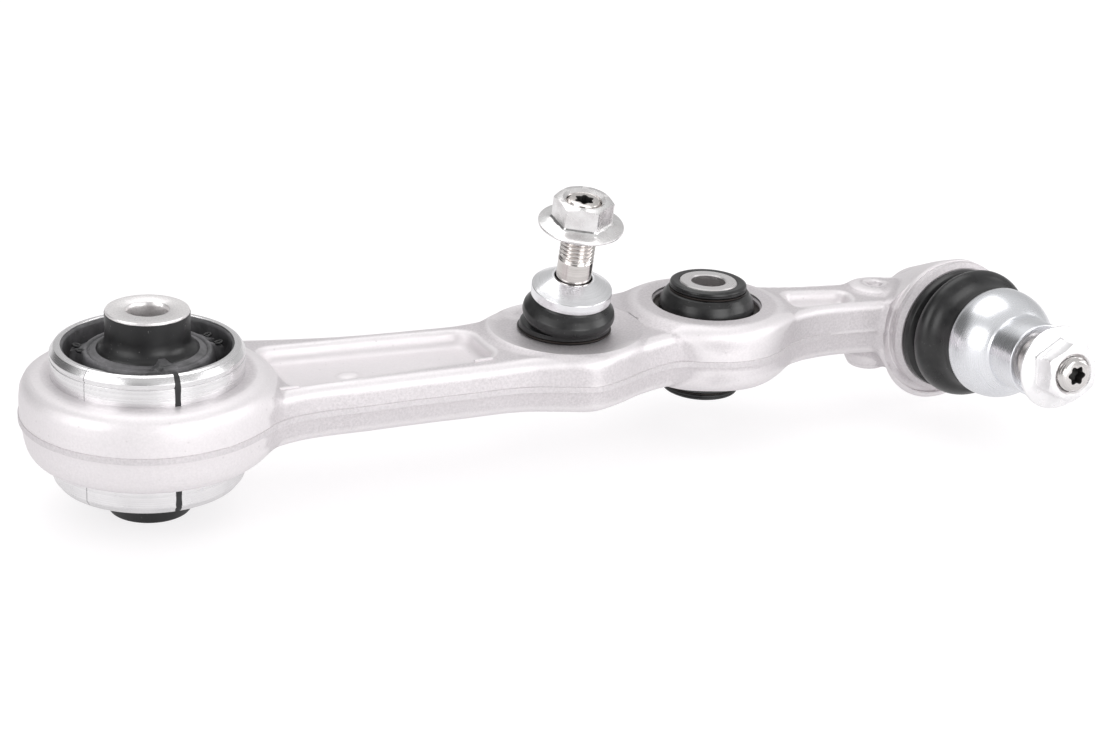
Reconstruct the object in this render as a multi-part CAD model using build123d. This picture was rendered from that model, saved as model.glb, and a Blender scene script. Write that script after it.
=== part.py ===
"""Forged front suspension control arm with a hydraulic bush, a ball sleeve and two ball joints.

The frame's origin is the middle of the main bush. +Z runs along the bush bores, +X towards the
ball sleeve and the outer ball joint, and the outer stud points along -Y. Lengths are in mm.
"""
import os
from math import cos, radians, sin, tan

from build123d import *

# ---- driving dimensions: main hydraulic bush, axis Z through the origin ----
MAIN_BORE_R = 6.5
MAIN_SLEEVE_R = 13.17
MAIN_SLEEVE_HALF = 34.0
MAIN_COAT_T = 0.8
MAIN_CAN_IN_R = 26.9
MAIN_CAN_R = 30.4
MAIN_CAN_HALF = 22.9
MAIN_EYE_R = 40.2
MAIN_EYE_TOP = 13.1
MAIN_EYE_BOTTOM = -13.2
MAIN_BOND_R = 16.0
CAN_SLOT_W = 1.8

# ---- driving dimensions: middle ball sleeve ----
MID = Vector(204.9, 0, 0)
MID_BORE_R = 6.1
MID_SLEEVE_R = 10.3
MID_SLEEVE_HALF = 20.54
MID_BALL_R = 14.0
MID_HOLE_R = 19.15
MID_BOSS_R = 28.6
MID_BOSS_TOP = 11.8
MID_BOSS_BOTTOM = -11.5

# ---- driving dimensions: link ball joint, its stud stands on the arm's upper face ----
LINK = Vector(147.1, -1.2, 0)
LINK_BALL_R = 8.5
LINK_TILT = 10.7
LINK_SEAT_Z = 9.4
LINK_SPOTFACE_R = 21.3

# ---- driving dimensions: outer ball joint, its mouth faces -Y ----
OUTER = Vector(297.8, -8.0, 0)
OUTER_BALL_R = 12.0
OUTER_STUD_DIR = Vector(-0.083, -0.989, 0.122)
OUTER_MOUTH_Y = -23.7

# ---- shared stud and fit sizes ----
THREAD_R = 6.0
NUT_AF = 18.0
NUT_FLANGE_R = 14.4
RUN_FIT = 0.05
DRAFT = 5.0

# ---- arm blank: half outlines at the parting plane, from the main eye to the cup ----
FRONT_EDGE = [
    (14, -34.5), (26, -29), (38, -23.8), (70, -22.7), (100, -23.9), (124, -26), (134, -29.6),
    (144.4, -33), (155, -30.4), (168, -24.9), (182, -21.9), (194, -24.2), (206, -27.7),
    (213, -27.2), (224, -22.6), (236, -17.3), (250, -15.6), (264, -17), (280, -20),
]
BACK_EDGE = [
    (14, 36), (30, 32.2), (43, 28.5), (70, 22.4), (101, 19.3), (124, 18.2), (142, 19.8),
    (165, 23.5), (182, 26.5), (204, 28.7), (219, 24.6), (230, 17.2), (244, 11.8), (259, 8.6),
    (280, 6),
]
BEAM_TOP = 8.7
BEAM_TOP_OUTER = 10.4
BEAM_BOTTOM = -9.7
FLASH_PROUD = 0.45
FLASH_HALF = 1.5


def save(shape, name):
    """Write one piece to parts/NAME.step."""
    export_step(shape, f"parts/{name}.step")


def ring_profile(points):
    """Face from (radius, height) points, drawn in the XZ plane."""
    return Plane.XZ * make_face(Polyline(*points, close=True))


def turned(points):
    """Solid of revolution about Z from (radius, height) points."""
    return revolve(ring_profile(points), Axis.Z)


def ball(radius):
    return Sphere(radius)


def pipe(r_in, r_out, z_low, z_high):
    """Plain ring with square corners."""
    return turned([(r_in, z_low), (r_out, z_low), (r_out, z_high), (r_in, z_high)])


def round_bar(radius, z_low, z_high):
    return Pos(0, 0, z_low) * extrude(Circle(radius), z_high - z_low)


def wire_ring(mean_r, wire_r, z):
    """Clamping ring of round wire."""
    return revolve(Plane.XZ * (Pos(mean_r, z) * Circle(wire_r)), Axis.Z)


def along(origin, direction):
    """Location whose +Z runs along direction."""
    return Plane(origin=origin, x_dir=(1, 0, 0.0001), z_dir=direction).location


# Stud directions: the link stud leans towards -Y, the outer stud follows its own vector.
LINK_STUD_DIR = Vector(-0.022, -sin(radians(LINK_TILT)), cos(radians(LINK_TILT))).normalized()
LINK_FRAME = along(LINK, LINK_STUD_DIR)
LINK_SEAT = Pos(LINK.X, LINK.Y, 0)
OUTER_FRAME = along(OUTER, OUTER_STUD_DIR.normalized())
CUP_FRAME = along(OUTER, Vector(0, -1, 0))
MID_FRAME = Pos(MID.X, MID.Y, MID.Z)


# ---------------------------------------------------------------- forged arm

def blank_face(inset):
    """Arm outline between the eye and the cup, pulled in by inset on both long edges."""
    front = Spline(*[(x, y + inset) for x, y in FRONT_EDGE])
    back = Spline(*[(x, y - inset) for x, y in BACK_EDGE])
    near_end = Line(front @ 0, back @ 0)
    far_end = Line(front @ 1, back @ 1)
    return make_face([front, far_end, back, near_end])


def blank_half(height):
    """One half of the arm blank, drafted away from the parting plane with a rounded rim."""
    side = 1 if height > 0 else -1
    size = abs(height)
    steps = [(0, 0), (size - 2.6, (size - 2.6) * tan(radians(DRAFT))), (size - 0.8, 1.4), (size, 3.2)]
    sections = [Pos(0, 0, side * z) * blank_face(inset) for z, inset in steps]
    return loft(sections, ruled=True)


def outer_rise():
    """Thicker arm from the link joint outwards, ramping up from the beam."""
    ramp_start, ramp_end = 112, 136
    keep = Plane.XZ * make_face(
        Polyline(
            (ramp_start, 0), (ramp_start, BEAM_TOP), (ramp_end, BEAM_TOP_OUTER),
            (330, BEAM_TOP_OUTER), (330, 0), close=True,
        )
    )
    return blank_half(BEAM_TOP_OUTER) & extrude(keep, 60, both=True)


def flash_belt():
    """Trimmed flash line that stands a little proud all round the parting plane."""
    belt = Pos(0, 0, -FLASH_HALF) * extrude(blank_face(-FLASH_PROUD), 2 * FLASH_HALF)
    eye = round_bar(MAIN_EYE_R + FLASH_PROUD, -FLASH_HALF, FLASH_HALF)
    return belt + eye


def main_eye():
    """Round eye that holds the hydraulic bush."""
    return turned([
        (0, MAIN_EYE_BOTTOM), (MAIN_EYE_R - 5.1, MAIN_EYE_BOTTOM), (MAIN_EYE_R - 3.1, -12.2),
        (MAIN_EYE_R - 1.7, -10.2), (MAIN_EYE_R - 0.9, -7), (MAIN_EYE_R, 0), (MAIN_EYE_R - 0.1, 6),
        (MAIN_EYE_R - 0.6, 9.4), (MAIN_EYE_R - 1.8, 11.6), (MAIN_EYE_R - 3.8, 12.9),
        (MAIN_EYE_R - 5.7, MAIN_EYE_TOP), (0, MAIN_EYE_TOP),
    ])


def mid_boss():
    """Boss around the ball sleeve."""
    return MID_FRAME * turned([
        (0, MID_BOSS_BOTTOM), (25.6, MID_BOSS_BOTTOM), (27.4, -9.6), (MID_BOSS_R, 0), (28.0, 8.6),
        (27.0, 10.9), (25.4, MID_BOSS_TOP), (0, MID_BOSS_TOP),
    ])


def link_seat_boss():
    """Full-height boss around the link joint, with a closing boss below."""
    return LINK_SEAT * turned([
        (0, -12.4), (17, -12.4), (19.5, -9.0), (24, -8), (27, 9.0), (25.5, BEAM_TOP_OUTER),
        (0, BEAM_TOP_OUTER),
    ])


def outer_cup():
    """Cup of the outer ball joint with its turned mouth, a lower lobe and the punch boss."""
    cone = CUP_FRAME * turned([
        (0, -17), (8, -16.4), (13.5, -13.5), (17.5, -7), (21.2, 2), (24.2, 8.6), (25.1, 11),
        (0, 11),
    ])
    mouth = CUP_FRAME * turned([(0, 8), (24.6, 8), (24.6, 14.2), (23.2, 15.7), (0, 15.7)])
    lobe = Pos(0, 0, -6) * CUP_FRAME * turned([
        (0, -15), (9, -14), (15, -9), (20.5, 0), (24.0, 7), (24.4, 9.6), (23.4, 11), (0, 11),
    ])
    boss = Pos(276.5, -1.5, 0) * turned([
        (0, -20), (5.5, -20), (8.2, -17.6), (8.8, -8), (8.8, 10.4), (6.6, 11.4), (3.2, 11.4),
        (2.0, 10.3), (0, 10.3),
    ])
    return cone + mouth + lobe + boss


def pocket(points, corner_r, rim_z, floor_z, wall_angle):
    """Drafted recess between rim_z and floor_z."""
    face = make_face(Polyline(*points, close=True))
    face = fillet(face.vertices(), corner_r)
    return Pos(0, 0, rim_z) * extrude(face, floor_z - rim_z, taper=wall_angle)


def beam_pockets():
    """Lightening pockets on both faces of the beam, and the short ones before the cup."""
    long_pocket = [(41, -16.8), (116, -15.0), (116, 11.0), (78, 14.5), (41, 17.5)]
    short_pocket = [(236.5, -9.8), (260, -11.4), (263, -1.8), (239.5, 4.2)]
    cuts = []
    for points, corner_r, rim, floor in (
        (long_pocket, 7.0, 10.2, 3.6), (short_pocket, 3.5, 11.0, 6.0),
    ):
        cuts.append(pocket(points, corner_r, rim, floor, 14))
        cuts.append(pocket(points, corner_r, -rim, -floor, 14))
    return cuts


def joint_bores():
    """Bores for the bush and the three joints."""
    main = round_bar(MAIN_CAN_R, -40, 40)
    mid = MID_FRAME * turned([
        (0, -30), (20.2, -30), (20.2, -11.4), (MID_HOLE_R, -10.6), (MID_HOLE_R, 10.9),
        (20.2, 11.9), (20.2, 30), (0, 30),
    ])
    link = LINK_SEAT * turned([
        (0, -12.5), (12.0, -12.5), (12.0, -9.6), (10.5, -9.6), (10.5, 4.2), (9.8, 5.4),
        (9.8, LINK_SEAT_Z), (LINK_SPOTFACE_R, LINK_SEAT_Z), (LINK_SPOTFACE_R + 1.2, 12), (0, 12),
    ])
    outer = CUP_FRAME * turned([
        (0, -14.2), (6.5, -12.9), (11.0, -9.6), (14.2, -4.0), (15.0, 0), (15.0, 9.0), (20.0, 9.0),
        (20.0, 12.4), (21.4, 12.4), (21.4, 16), (0, 16),
    ])
    return [main, mid, link, outer]


def arm_forging():
    arm = blank_half(BEAM_TOP) + blank_half(BEAM_BOTTOM) + outer_rise() + flash_belt()
    arm = arm + main_eye() + mid_boss() + link_seat_boss() + outer_cup()
    for cut in beam_pockets() + joint_bores():
        arm = arm - cut
    return arm


# ---------------------------------------------------------------- main hydraulic bush

def main_inner_sleeve():
    core_r = MAIN_SLEEVE_R - MAIN_COAT_T
    top = MAIN_SLEEVE_HALF
    return turned([
        (MAIN_BORE_R, -top), (core_r - 0.5, -top), (core_r, -top + 0.5), (core_r, top - 1.4),
        (MAIN_SLEEVE_R, top - 1.4), (MAIN_SLEEVE_R, top - 0.4), (MAIN_SLEEVE_R - 0.4, top),
        (MAIN_BORE_R, top),
    ])


def main_sleeve_coating():
    """Rubber skin bonded to the sleeve, flaring into the spring."""
    core_r = MAIN_SLEEVE_R - MAIN_COAT_T
    top = MAIN_SLEEVE_HALF - 1.4
    return turned([
        (core_r, -top), (MAIN_SLEEVE_R, -top), (MAIN_SLEEVE_R, -23.6), (14.2, -22.0),
        (MAIN_BOND_R, -21.2), (MAIN_BOND_R, 21.2), (14.2, 22.0), (MAIN_SLEEVE_R, 23.6),
        (MAIN_SLEEVE_R, top), (core_r, top),
    ])


def chamber_sector(r_in, r_out, half_angle, half_height):
    """Pair of ring sectors on +X and -X."""
    reach = 2 * r_out
    wedge = make_face(Polyline(
        (0, 0), (reach, reach * tan(radians(half_angle))), (reach, -reach * tan(radians(half_angle))),
        close=True,
    ))
    ring = pipe(r_in, r_out, -half_height, half_height)
    slab = Pos(0, 0, -half_height) * extrude(wedge, 2 * half_height)
    one = ring & slab
    return [one, Rot(0, 0, 180) * one]


def main_rubber_spring():
    """Rubber body between sleeve and can, with two fluid chambers and a lining up the can wall."""
    lining = MAIN_CAN_IN_R - 0.8
    upper_wall = [
        (MAIN_CAN_IN_R, 9.5), (MAIN_CAN_IN_R, MAIN_CAN_HALF - 1), (lining, MAIN_CAN_HALF - 1.5),
        (lining, 14.5), (lining - 1.4, 12.8), (22.6, 12.4), (21.2, 13.8), (20.4, 19.4), (19.8, 20.4),
        (18.4, 20.5), (MAIN_BOND_R, 21.1),
    ]
    lower_wall = [(r, -z) for r, z in reversed(upper_wall)]
    body = turned(lower_wall + [(25.2, -9.5), (25.2, 9.5)] + upper_wall)
    for chamber in chamber_sector(MAIN_BOND_R, 25.2, 48, 8.0):
        body = body - chamber
    key = Pos(0, -(MAIN_CAN_IN_R + MAIN_CAN_R) / 2 + 0.1, 0) * Box(
        CAN_SLOT_W, MAIN_CAN_R - MAIN_CAN_IN_R + 0.1, 2 * MAIN_CAN_HALF - 2.4
    )
    return body + (key & pipe(MAIN_CAN_IN_R, MAIN_CAN_R - 0.1, -30, 30))


def main_channel_ring():
    """Plastic ring that carries the fluid channel between the chambers."""
    ring = pipe(25.2, MAIN_CAN_IN_R, -9.5, 9.5)
    groove = turned([(26.2, -5), (MAIN_CAN_IN_R, -5), (MAIN_CAN_IN_R, -1), (26.2, -1)])
    return ring - groove


def main_outer_can():
    """Split aluminium can with a turned groove and a bevelled rim at the top."""
    can = turned([
        (MAIN_CAN_IN_R, -MAIN_CAN_HALF), (28.8, -MAIN_CAN_HALF), (MAIN_CAN_R, -MAIN_CAN_HALF + 2.2),
        (MAIN_CAN_R, 19.0), (30.15, 19.1), (30.15, 19.4), (MAIN_CAN_R, 19.5), (MAIN_CAN_R, 20.5),
        (28.6, MAIN_CAN_HALF),
        (MAIN_CAN_IN_R, MAIN_CAN_HALF),
    ])
    slot = Pos(0, -MAIN_CAN_R + 1.5, 0) * Box(CAN_SLOT_W, 8, 60)
    return can - slot


def main_travel_stop():
    """Pair of stops on the sleeve that meet the chamber walls at full travel."""
    return Compound(chamber_sector(MAIN_BOND_R, 21.5, 20, 6.5))


# ---------------------------------------------------------------- middle ball sleeve

def mid_ball_sleeve():
    neck_z = (MID_BALL_R ** 2 - MID_SLEEVE_R ** 2) ** 0.5
    neck = pipe(MID_BORE_R, MID_SLEEVE_R, -MID_SLEEVE_HALF, MID_SLEEVE_HALF)
    middle = ball(MID_BALL_R) & pipe(MID_BORE_R, MID_BALL_R + 1, -neck_z, neck_z)
    return MID_FRAME * (neck + middle)


def mid_bearing_shell():
    shell = turned([
        (8, -7.9), (17.3, -7.9), (17.3, 7.9), (8, 7.9),
    ])
    relief = turned([(0, 7.3), (12.3, 7.3), (13.2, 8.0), (0, 8.0)])
    shell = shell - ball(MID_BALL_R + RUN_FIT) - relief - mirror(relief, Plane.XY)
    return MID_FRAME * shell


def mid_cartridge_ring():
    return MID_FRAME * pipe(17.3, MID_HOLE_R, -10.4, 10.4)


def mid_closing_ring(side):
    ring = pipe(13.2, 17.3, 7.9, 10.2)
    return MID_FRAME * (ring if side > 0 else mirror(ring, Plane.XY))


def mid_boot(side):
    """Sealing boot: base on the closing ring, lip around the sleeve's end."""
    boot = turned([
        (13.6, 10.3), (17.0, 10.3), (16.9, 11.6), (16.0, 14.8), (14.4, 16.9), (13.2, 17.4),
        (13.2, 18.0), (13.6, 18.4), (13.6, 19.4), (12.9, 20.0), (MID_SLEEVE_R + 0.1, 20.2),
        (MID_SLEEVE_R + 0.1, 17.6), (12.4, 16.2), (14.0, 13.6),
    ])
    return MID_FRAME * (boot if side > 0 else mirror(boot, Plane.XY))


def mid_clamp_ring(side):
    """Wire ring in the boot's groove."""
    return MID_FRAME * wire_ring(13.65, 0.3, side * 17.7)


# ---------------------------------------------------------------- link ball joint

def link_ball_stud():
    """Ball, neck, shoulder, shank and M12 thread, with a drive socket in the end."""
    shaft = turned([
        (0, 0), (5.0, 0), (5.0, 15), (8.0, 17.5), (8.6, 18.5), (8.6, 23.8), (THREAD_R, 23.8),
        (THREAD_R, 60.2), (5.2, 61.0), (0, 61.0),
    ])
    socket = Pos(0, 0, 57.0) * extrude(RegularPolygon(3.2, 6), 5)
    return LINK_FRAME * (shaft + ball(LINK_BALL_R) - socket)


def link_bearing_shell():
    shell = turned([(0, -9.5), (10.5, -9.5), (10.5, 4.1), (0, 4.1)])
    mouth = turned([(0, 3.5), (7.7, 3.5), (8.6, 4.2), (0, 4.2)])
    return LINK_SEAT * (shell - ball(LINK_BALL_R + RUN_FIT) - mouth)


def link_closing_plate():
    return LINK_SEAT * round_bar(12.0, -12.0, -9.6)


def link_boot():
    """Boot from the seat to the cone washer, hollow inside."""
    base = Pos(LINK.X, LINK.Y, LINK_SEAT_Z)
    belly = Pos(LINK.X, LINK.Y - 1.2, LINK_SEAT_Z + 7.5) * Rot(LINK_TILT * 0.6, 0, 0)
    top = LINK_FRAME * Pos(0, 0, 23.2)
    outside = loft([base * Circle(14.9), belly * Circle(15.2), top * Circle(12.2)])
    inside = loft([base * Circle(12.0), belly * Circle(12.6), top * Circle(9.2)])
    return outside - inside


def link_boot_base_ring():
    return LINK_SEAT * wire_ring(15.9, 0.4, LINK_SEAT_Z + 1.0)


def link_boot_top_ring():
    return LINK_FRAME * pipe(9.4, 12.0, 23.3, 23.9)


def link_cone_washer():
    return LINK_FRAME * turned([
        (6.5, 24.0), (13.4, 24.0), (13.8, 24.4), (13.8, 27.3), (13.4, 27.7), (7.6, 31.6),
        (7.0, 31.6), (6.5, 31.1),
    ])


def flange_nut(seat, height):
    """Hexagon nut with a captive-width flange, seat is the flange's underside."""
    flange = turned([
        (THREAD_R + RUN_FIT, seat), (NUT_FLANGE_R - 0.5, seat), (NUT_FLANGE_R, seat + 0.5),
        (NUT_FLANGE_R, seat + 1.1), (9.4, seat + 3.2), (THREAD_R + RUN_FIT, seat + 3.2),
    ])
    prism = Pos(0, 0, seat + 1.5) * extrude(RegularPolygon(NUT_AF / 2, 6, major_radius=False), height - 1.5)
    corner = turned([
        (0, seat), (20, seat), (20, seat + height - 5.6), (NUT_AF / 2 - 0.3, seat + height), (0, seat + height),
    ])
    hole = round_bar(THREAD_R + RUN_FIT, seat - 1, seat + height + 1)
    return flange + (prism & corner) - hole


def link_flange_nut():
    return LINK_FRAME * flange_nut(51.0, 10.4)


# ---------------------------------------------------------------- outer ball joint

def outer_ball_stud():
    shaft = turned([
        (0, 0), (7.0, 0), (7.0, 22), (9.0, 39), (9.0, 44.4), (8.0, 44.4), (8.0, 70.5),
        (THREAD_R, 71.5), (THREAD_R, 93.4), (5.4, 94.1), (0, 94.1),
    ])
    socket = Pos(0, 0, 90) * extrude(RegularPolygon(3.2, 6), 6)
    return OUTER_FRAME * (shaft + ball(OUTER_BALL_R) - socket)


def outer_bearing_shell():
    shell = turned([
        (0, -14.1), (6.4, -12.8), (10.9, -9.5), (14.1, -4.0), (15.0, 0), (15.0, 8.9), (0, 8.9),
    ])
    mouth = turned([(0, 5.6), (10.6, 5.6), (13.0, 9.0), (0, 9.0)])
    return CUP_FRAME * (shell - ball(OUTER_BALL_R + RUN_FIT) - mouth)


def outer_closing_ring():
    return CUP_FRAME * pipe(14.2, 20.0, 9.1, 12.3)


def outer_boot_base_ring():
    return CUP_FRAME * pipe(18.6, 21.4, 12.5, 13.6)


def outer_boot():
    """Bellows boot from the cup's mouth to the dome collar, hollow inside."""
    base = CUP_FRAME * Pos(0, 0, 15.9)
    belly = OUTER_FRAME * Pos(0, 0, 28.5)
    top = OUTER_FRAME * Pos(0, 0, 44.8)
    outside = loft([base * Circle(22.6), belly * Circle(23.2), top * Circle(18.2)])
    inside = loft([base * Circle(19.2), belly * Circle(19.8), top * Circle(15.4)])
    foot = CUP_FRAME * pipe(17.5, 21.2, 13.7, 15.9)
    return outside - inside + foot


def outer_boot_top_ring():
    return OUTER_FRAME * pipe(9.6, 15.2, 43.4, 44.8)


def outer_dome_collar():
    """Polished collar: rolled rim, domed shoulder, then a plain cylinder with a countersunk end."""
    rim, shoulder, barrel = 19.6, 12.9, 73.8
    dome = [(shoulder + (rim - shoulder) * cos(radians(a)) ** 0.75, 46.8 + 13.0 * sin(radians(a)))
            for a in range(0, 91, 15)]
    return OUTER_FRAME * turned([
        (8.0 + RUN_FIT, 45.0), (19.1, 45.0), (rim, 45.6), *dome, (shoulder, barrel - 0.6),
        (shoulder - 0.6, barrel), (11.2, barrel), (8.0 + RUN_FIT, 71.6),
    ])


def outer_flange_nut():
    return OUTER_FRAME * flange_nut(81.6, 10.4)


PIECES = {
    "arm_forging": arm_forging,
    "main_outer_can": main_outer_can,
    "main_channel_ring": main_channel_ring,
    "main_rubber_spring": main_rubber_spring,
    "main_inner_sleeve": main_inner_sleeve,
    "main_sleeve_coating": main_sleeve_coating,
    "main_travel_stop": main_travel_stop,
    "mid_cartridge_ring": mid_cartridge_ring,
    "mid_bearing_shell": mid_bearing_shell,
    "mid_ball_sleeve": mid_ball_sleeve,
    "link_ball_stud": link_ball_stud,
    "link_bearing_shell": link_bearing_shell,
    "link_closing_plate": link_closing_plate,
    "link_boot": link_boot,
    "link_boot_base_ring": link_boot_base_ring,
    "link_boot_top_ring": link_boot_top_ring,
    "link_cone_washer": link_cone_washer,
    "link_flange_nut": link_flange_nut,
    "outer_ball_stud": outer_ball_stud,
    "outer_bearing_shell": outer_bearing_shell,
    "outer_closing_ring": outer_closing_ring,
    "outer_boot_base_ring": outer_boot_base_ring,
    "outer_boot": outer_boot,
    "outer_boot_top_ring": outer_boot_top_ring,
    "outer_dome_collar": outer_dome_collar,
    "outer_flange_nut": outer_flange_nut,
}

os.makedirs("parts", exist_ok=True)
for name, make in PIECES.items():
    save(make(), name)
for label, side in (("upper", 1), ("lower", -1)):
    save(mid_closing_ring(side), f"mid_{label}_closing_ring")
    save(mid_boot(side), f"mid_{label}_boot")
    save(mid_clamp_ring(side), f"mid_{label}_clamp_ring")
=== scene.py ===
# Forged front suspension control arm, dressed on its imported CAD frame.
# Every length is written in millimetres on the frame's own axes and turned into metres as a mesh is made.
from math import atan2, cos, hypot, pi, radians, sin, tan

import bmesh
import bpy
import numpy as np
from mathutils import Euler, Matrix, Vector


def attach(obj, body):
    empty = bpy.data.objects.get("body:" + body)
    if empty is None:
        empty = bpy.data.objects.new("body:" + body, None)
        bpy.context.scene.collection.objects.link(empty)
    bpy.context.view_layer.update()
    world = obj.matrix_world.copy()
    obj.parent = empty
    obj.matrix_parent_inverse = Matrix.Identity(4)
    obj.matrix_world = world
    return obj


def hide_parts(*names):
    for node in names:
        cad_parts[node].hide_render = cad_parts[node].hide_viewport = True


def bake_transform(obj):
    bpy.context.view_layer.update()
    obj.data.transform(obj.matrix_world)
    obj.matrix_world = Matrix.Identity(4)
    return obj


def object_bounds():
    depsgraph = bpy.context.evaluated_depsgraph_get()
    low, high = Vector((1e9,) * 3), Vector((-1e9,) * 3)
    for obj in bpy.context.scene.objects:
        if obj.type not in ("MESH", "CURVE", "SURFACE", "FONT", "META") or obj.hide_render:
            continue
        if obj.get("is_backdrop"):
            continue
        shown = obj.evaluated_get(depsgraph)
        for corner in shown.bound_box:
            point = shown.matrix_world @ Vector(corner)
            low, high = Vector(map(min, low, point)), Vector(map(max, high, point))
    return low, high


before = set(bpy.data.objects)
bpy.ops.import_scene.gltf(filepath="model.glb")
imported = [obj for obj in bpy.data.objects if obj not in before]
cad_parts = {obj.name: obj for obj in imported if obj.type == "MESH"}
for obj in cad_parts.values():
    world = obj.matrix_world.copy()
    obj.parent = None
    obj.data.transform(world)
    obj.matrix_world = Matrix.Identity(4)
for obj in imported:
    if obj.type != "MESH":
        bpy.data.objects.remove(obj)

cad_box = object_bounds()
scene = bpy.context.scene
MM = 0.001


# -------------------------------------------------- camera, studio light and floor
# The arm lies on a white table in a bright tent, with a large soft light on each side, one above and
# one in front. Two greyer openings in the tent give the polished parts their darker reflections.
def add_node(tree, kind, inputs=(), **settings):
    """One node with its settings, and its inputs given as values or as the sockets that feed them."""
    made = tree.nodes.new(kind)
    for key, value in settings.items():
        setattr(made, key, value)
    for key, value in dict(inputs).items():
        if isinstance(value, bpy.types.NodeSocket):
            tree.links.new(value, made.inputs[key])
        else:
            made.inputs[key].default_value = value
    return made


def stepped(tree, value, stops):
    """A colour ramp over value, from (position, grey) stops."""
    ramp = add_node(tree, "ShaderNodeValToRGB", {0: value})
    steps = ramp.color_ramp.elements
    while len(steps) < len(stops):
        steps.new(0.5)
    for step, (position, grey) in zip(steps, stops):
        step.position = position
        step.color = (grey, grey, grey, 1)
    return ramp.outputs["Color"]


CAMERA_PLACE = (-0.185325, -0.616074, 0.274641)
CAMERA_TURN = (68.09771, -3.17697, -26.94090)
LENS, SENSOR_WIDTH = 70.216, 36.0

camera_data = bpy.data.cameras.new("camera")
camera_data.lens = LENS
camera_data.sensor_width = SENSOR_WIDTH
camera_data.clip_start = 0.01
camera = bpy.data.objects.new("camera", camera_data)
scene.collection.objects.link(camera)
turn = Euler([radians(a) for a in CAMERA_TURN])
camera.matrix_world = Matrix.Translation(CAMERA_PLACE) @ turn.to_matrix().to_4x4()
scene.camera = camera
scene.view_settings.view_transform = "Standard"

TENT_STOPS = [(0.0, 0.62), (0.18, 0.56), (0.45, 0.56), (0.80, 0.70)]
# each opening's direction, the cosines where its edge starts and ends, and its tone
OPENINGS = [
    ((-0.44, -0.82, 0.36), 0.90, 0.955, 0.32),
    ((-0.60, 0.74, 0.28), 0.86, 0.95, 0.25),
]
world = bpy.data.worlds.new("studio_tent")
scene.world = world
world.use_nodes = True
tent = world.node_tree
tent.nodes.clear()
way = add_node(tent, "ShaderNodeTexCoord").outputs["Generated"]
height = add_node(tent, "ShaderNodeSeparateXYZ", {0: way}).outputs["Z"]
tone = stepped(tent, height, TENT_STOPS)
for opening, edge_from, edge_to, dark in OPENINGS:
    facing = add_node(tent, "ShaderNodeVectorMath", {0: way, 1: opening}, operation="DOT_PRODUCT")
    shade = stepped(tent, facing.outputs["Value"], [(edge_from, 1.0), (edge_to, dark)])
    tone = add_node(tent, "ShaderNodeVectorMath", {0: tone, 1: shade}, operation="MULTIPLY").outputs[0]
glow = add_node(tent, "ShaderNodeBackground", {"Color": tone, "Strength": 1.0})
plain = add_node(tent, "ShaderNodeBackground", {"Color": (1, 1, 1, 1), "Strength": 1.0})
seen = add_node(tent, "ShaderNodeLightPath").outputs["Is Camera Ray"]
sky = add_node(tent, "ShaderNodeMixShader", {0: seen, 1: glow.outputs[0], 2: plain.outputs[0]})
add_node(tent, "ShaderNodeOutputWorld", {"Surface": sky.outputs[0]})

LAMP_TARGET = Vector((0.14, -0.02, 0.0))
# each lamp's place and width in metres, and its power in watts
LAMPS = [
    ("softbox_left", (-0.85, -0.25, 0.40), 0.7, 3.7),
    ("softbox_right", (1.05, -0.55, 0.40), 0.6, 3.4),
    ("softbox_above", (0.15, 0.35, 1.05), 0.9, 3.8),
    ("softbox_front", (0.30, -1.20, 0.34), 0.8, 6.3),
]
for name, place, size, watts in LAMPS:
    lamp_data = bpy.data.lights.new(name, "AREA")
    lamp_data.size = size
    lamp_data.energy = watts
    lamp = bpy.data.objects.new(name, lamp_data)
    lamp.location = place
    lamp.rotation_euler = (LAMP_TARGET - Vector(place)).to_track_quat("-Z", "Y").to_euler()
    scene.collection.objects.link(lamp)


def new_material(name, **values):
    """A Principled material, its plain values set on the shader's own sockets."""
    material = bpy.data.materials.new(name)
    material.use_nodes = True
    shader = material.node_tree.nodes["Principled BSDF"]
    for key, value in values.items():
        shader.inputs[key.replace("_", " ")].default_value = value
    return material, material.node_tree, shader


def object_place(tree):
    """The piece's own coordinates."""
    return add_node(tree, "ShaderNodeTexCoord").outputs["Object"]


TABLE_REACH, TABLE_DROP = 6.0, 0.0002
GLOW_ON_PIECES, GLOW_SEEN = 0.58, 0.78
table_material, tree, shader = new_material("table_white", Roughness=0.62)
cloud = add_node(tree, "ShaderNodeTexNoise", {"Vector": object_place(tree), "Scale": 3.0})
sheet = stepped(tree, cloud.outputs["Fac"], [(0.35, 0.25), (0.65, 0.27)])
tree.links.new(sheet, shader.inputs["Base Color"])
shader.inputs["Emission Color"].default_value = (1.0, 0.985, 0.995, 1)
looked_at = add_node(tree, "ShaderNodeLightPath").outputs["Is Camera Ray"]
lit = add_node(tree, "ShaderNodeMapRange", {0: looked_at, 3: GLOW_ON_PIECES, 4: GLOW_SEEN})
tree.links.new(lit.outputs[0], shader.inputs["Emission Strength"])
under = add_node(tree, "ShaderNodeNewGeometry").outputs["Backfacing"]
clear = add_node(tree, "ShaderNodeBsdfTransparent").outputs[0]
one_sided = add_node(tree, "ShaderNodeMixShader", {0: under, 1: shader.outputs[0], 2: clear})
tree.links.new(one_sided.outputs[0], tree.nodes["Material Output"].inputs["Surface"])
table_mesh = bpy.data.meshes.new("table")
table_z = cad_box[0].z - TABLE_DROP
corners = [(TABLE_REACH * x, TABLE_REACH * y, table_z) for x, y in ((-1, -1), (1, -1), (1, 1), (-1, 1))]
table_mesh.from_pydata(corners, [], [(0, 1, 2, 3)])
table_mesh.materials.append(table_material)
table = bpy.data.objects.new("table", table_mesh)
scene.collection.objects.link(table)
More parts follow.
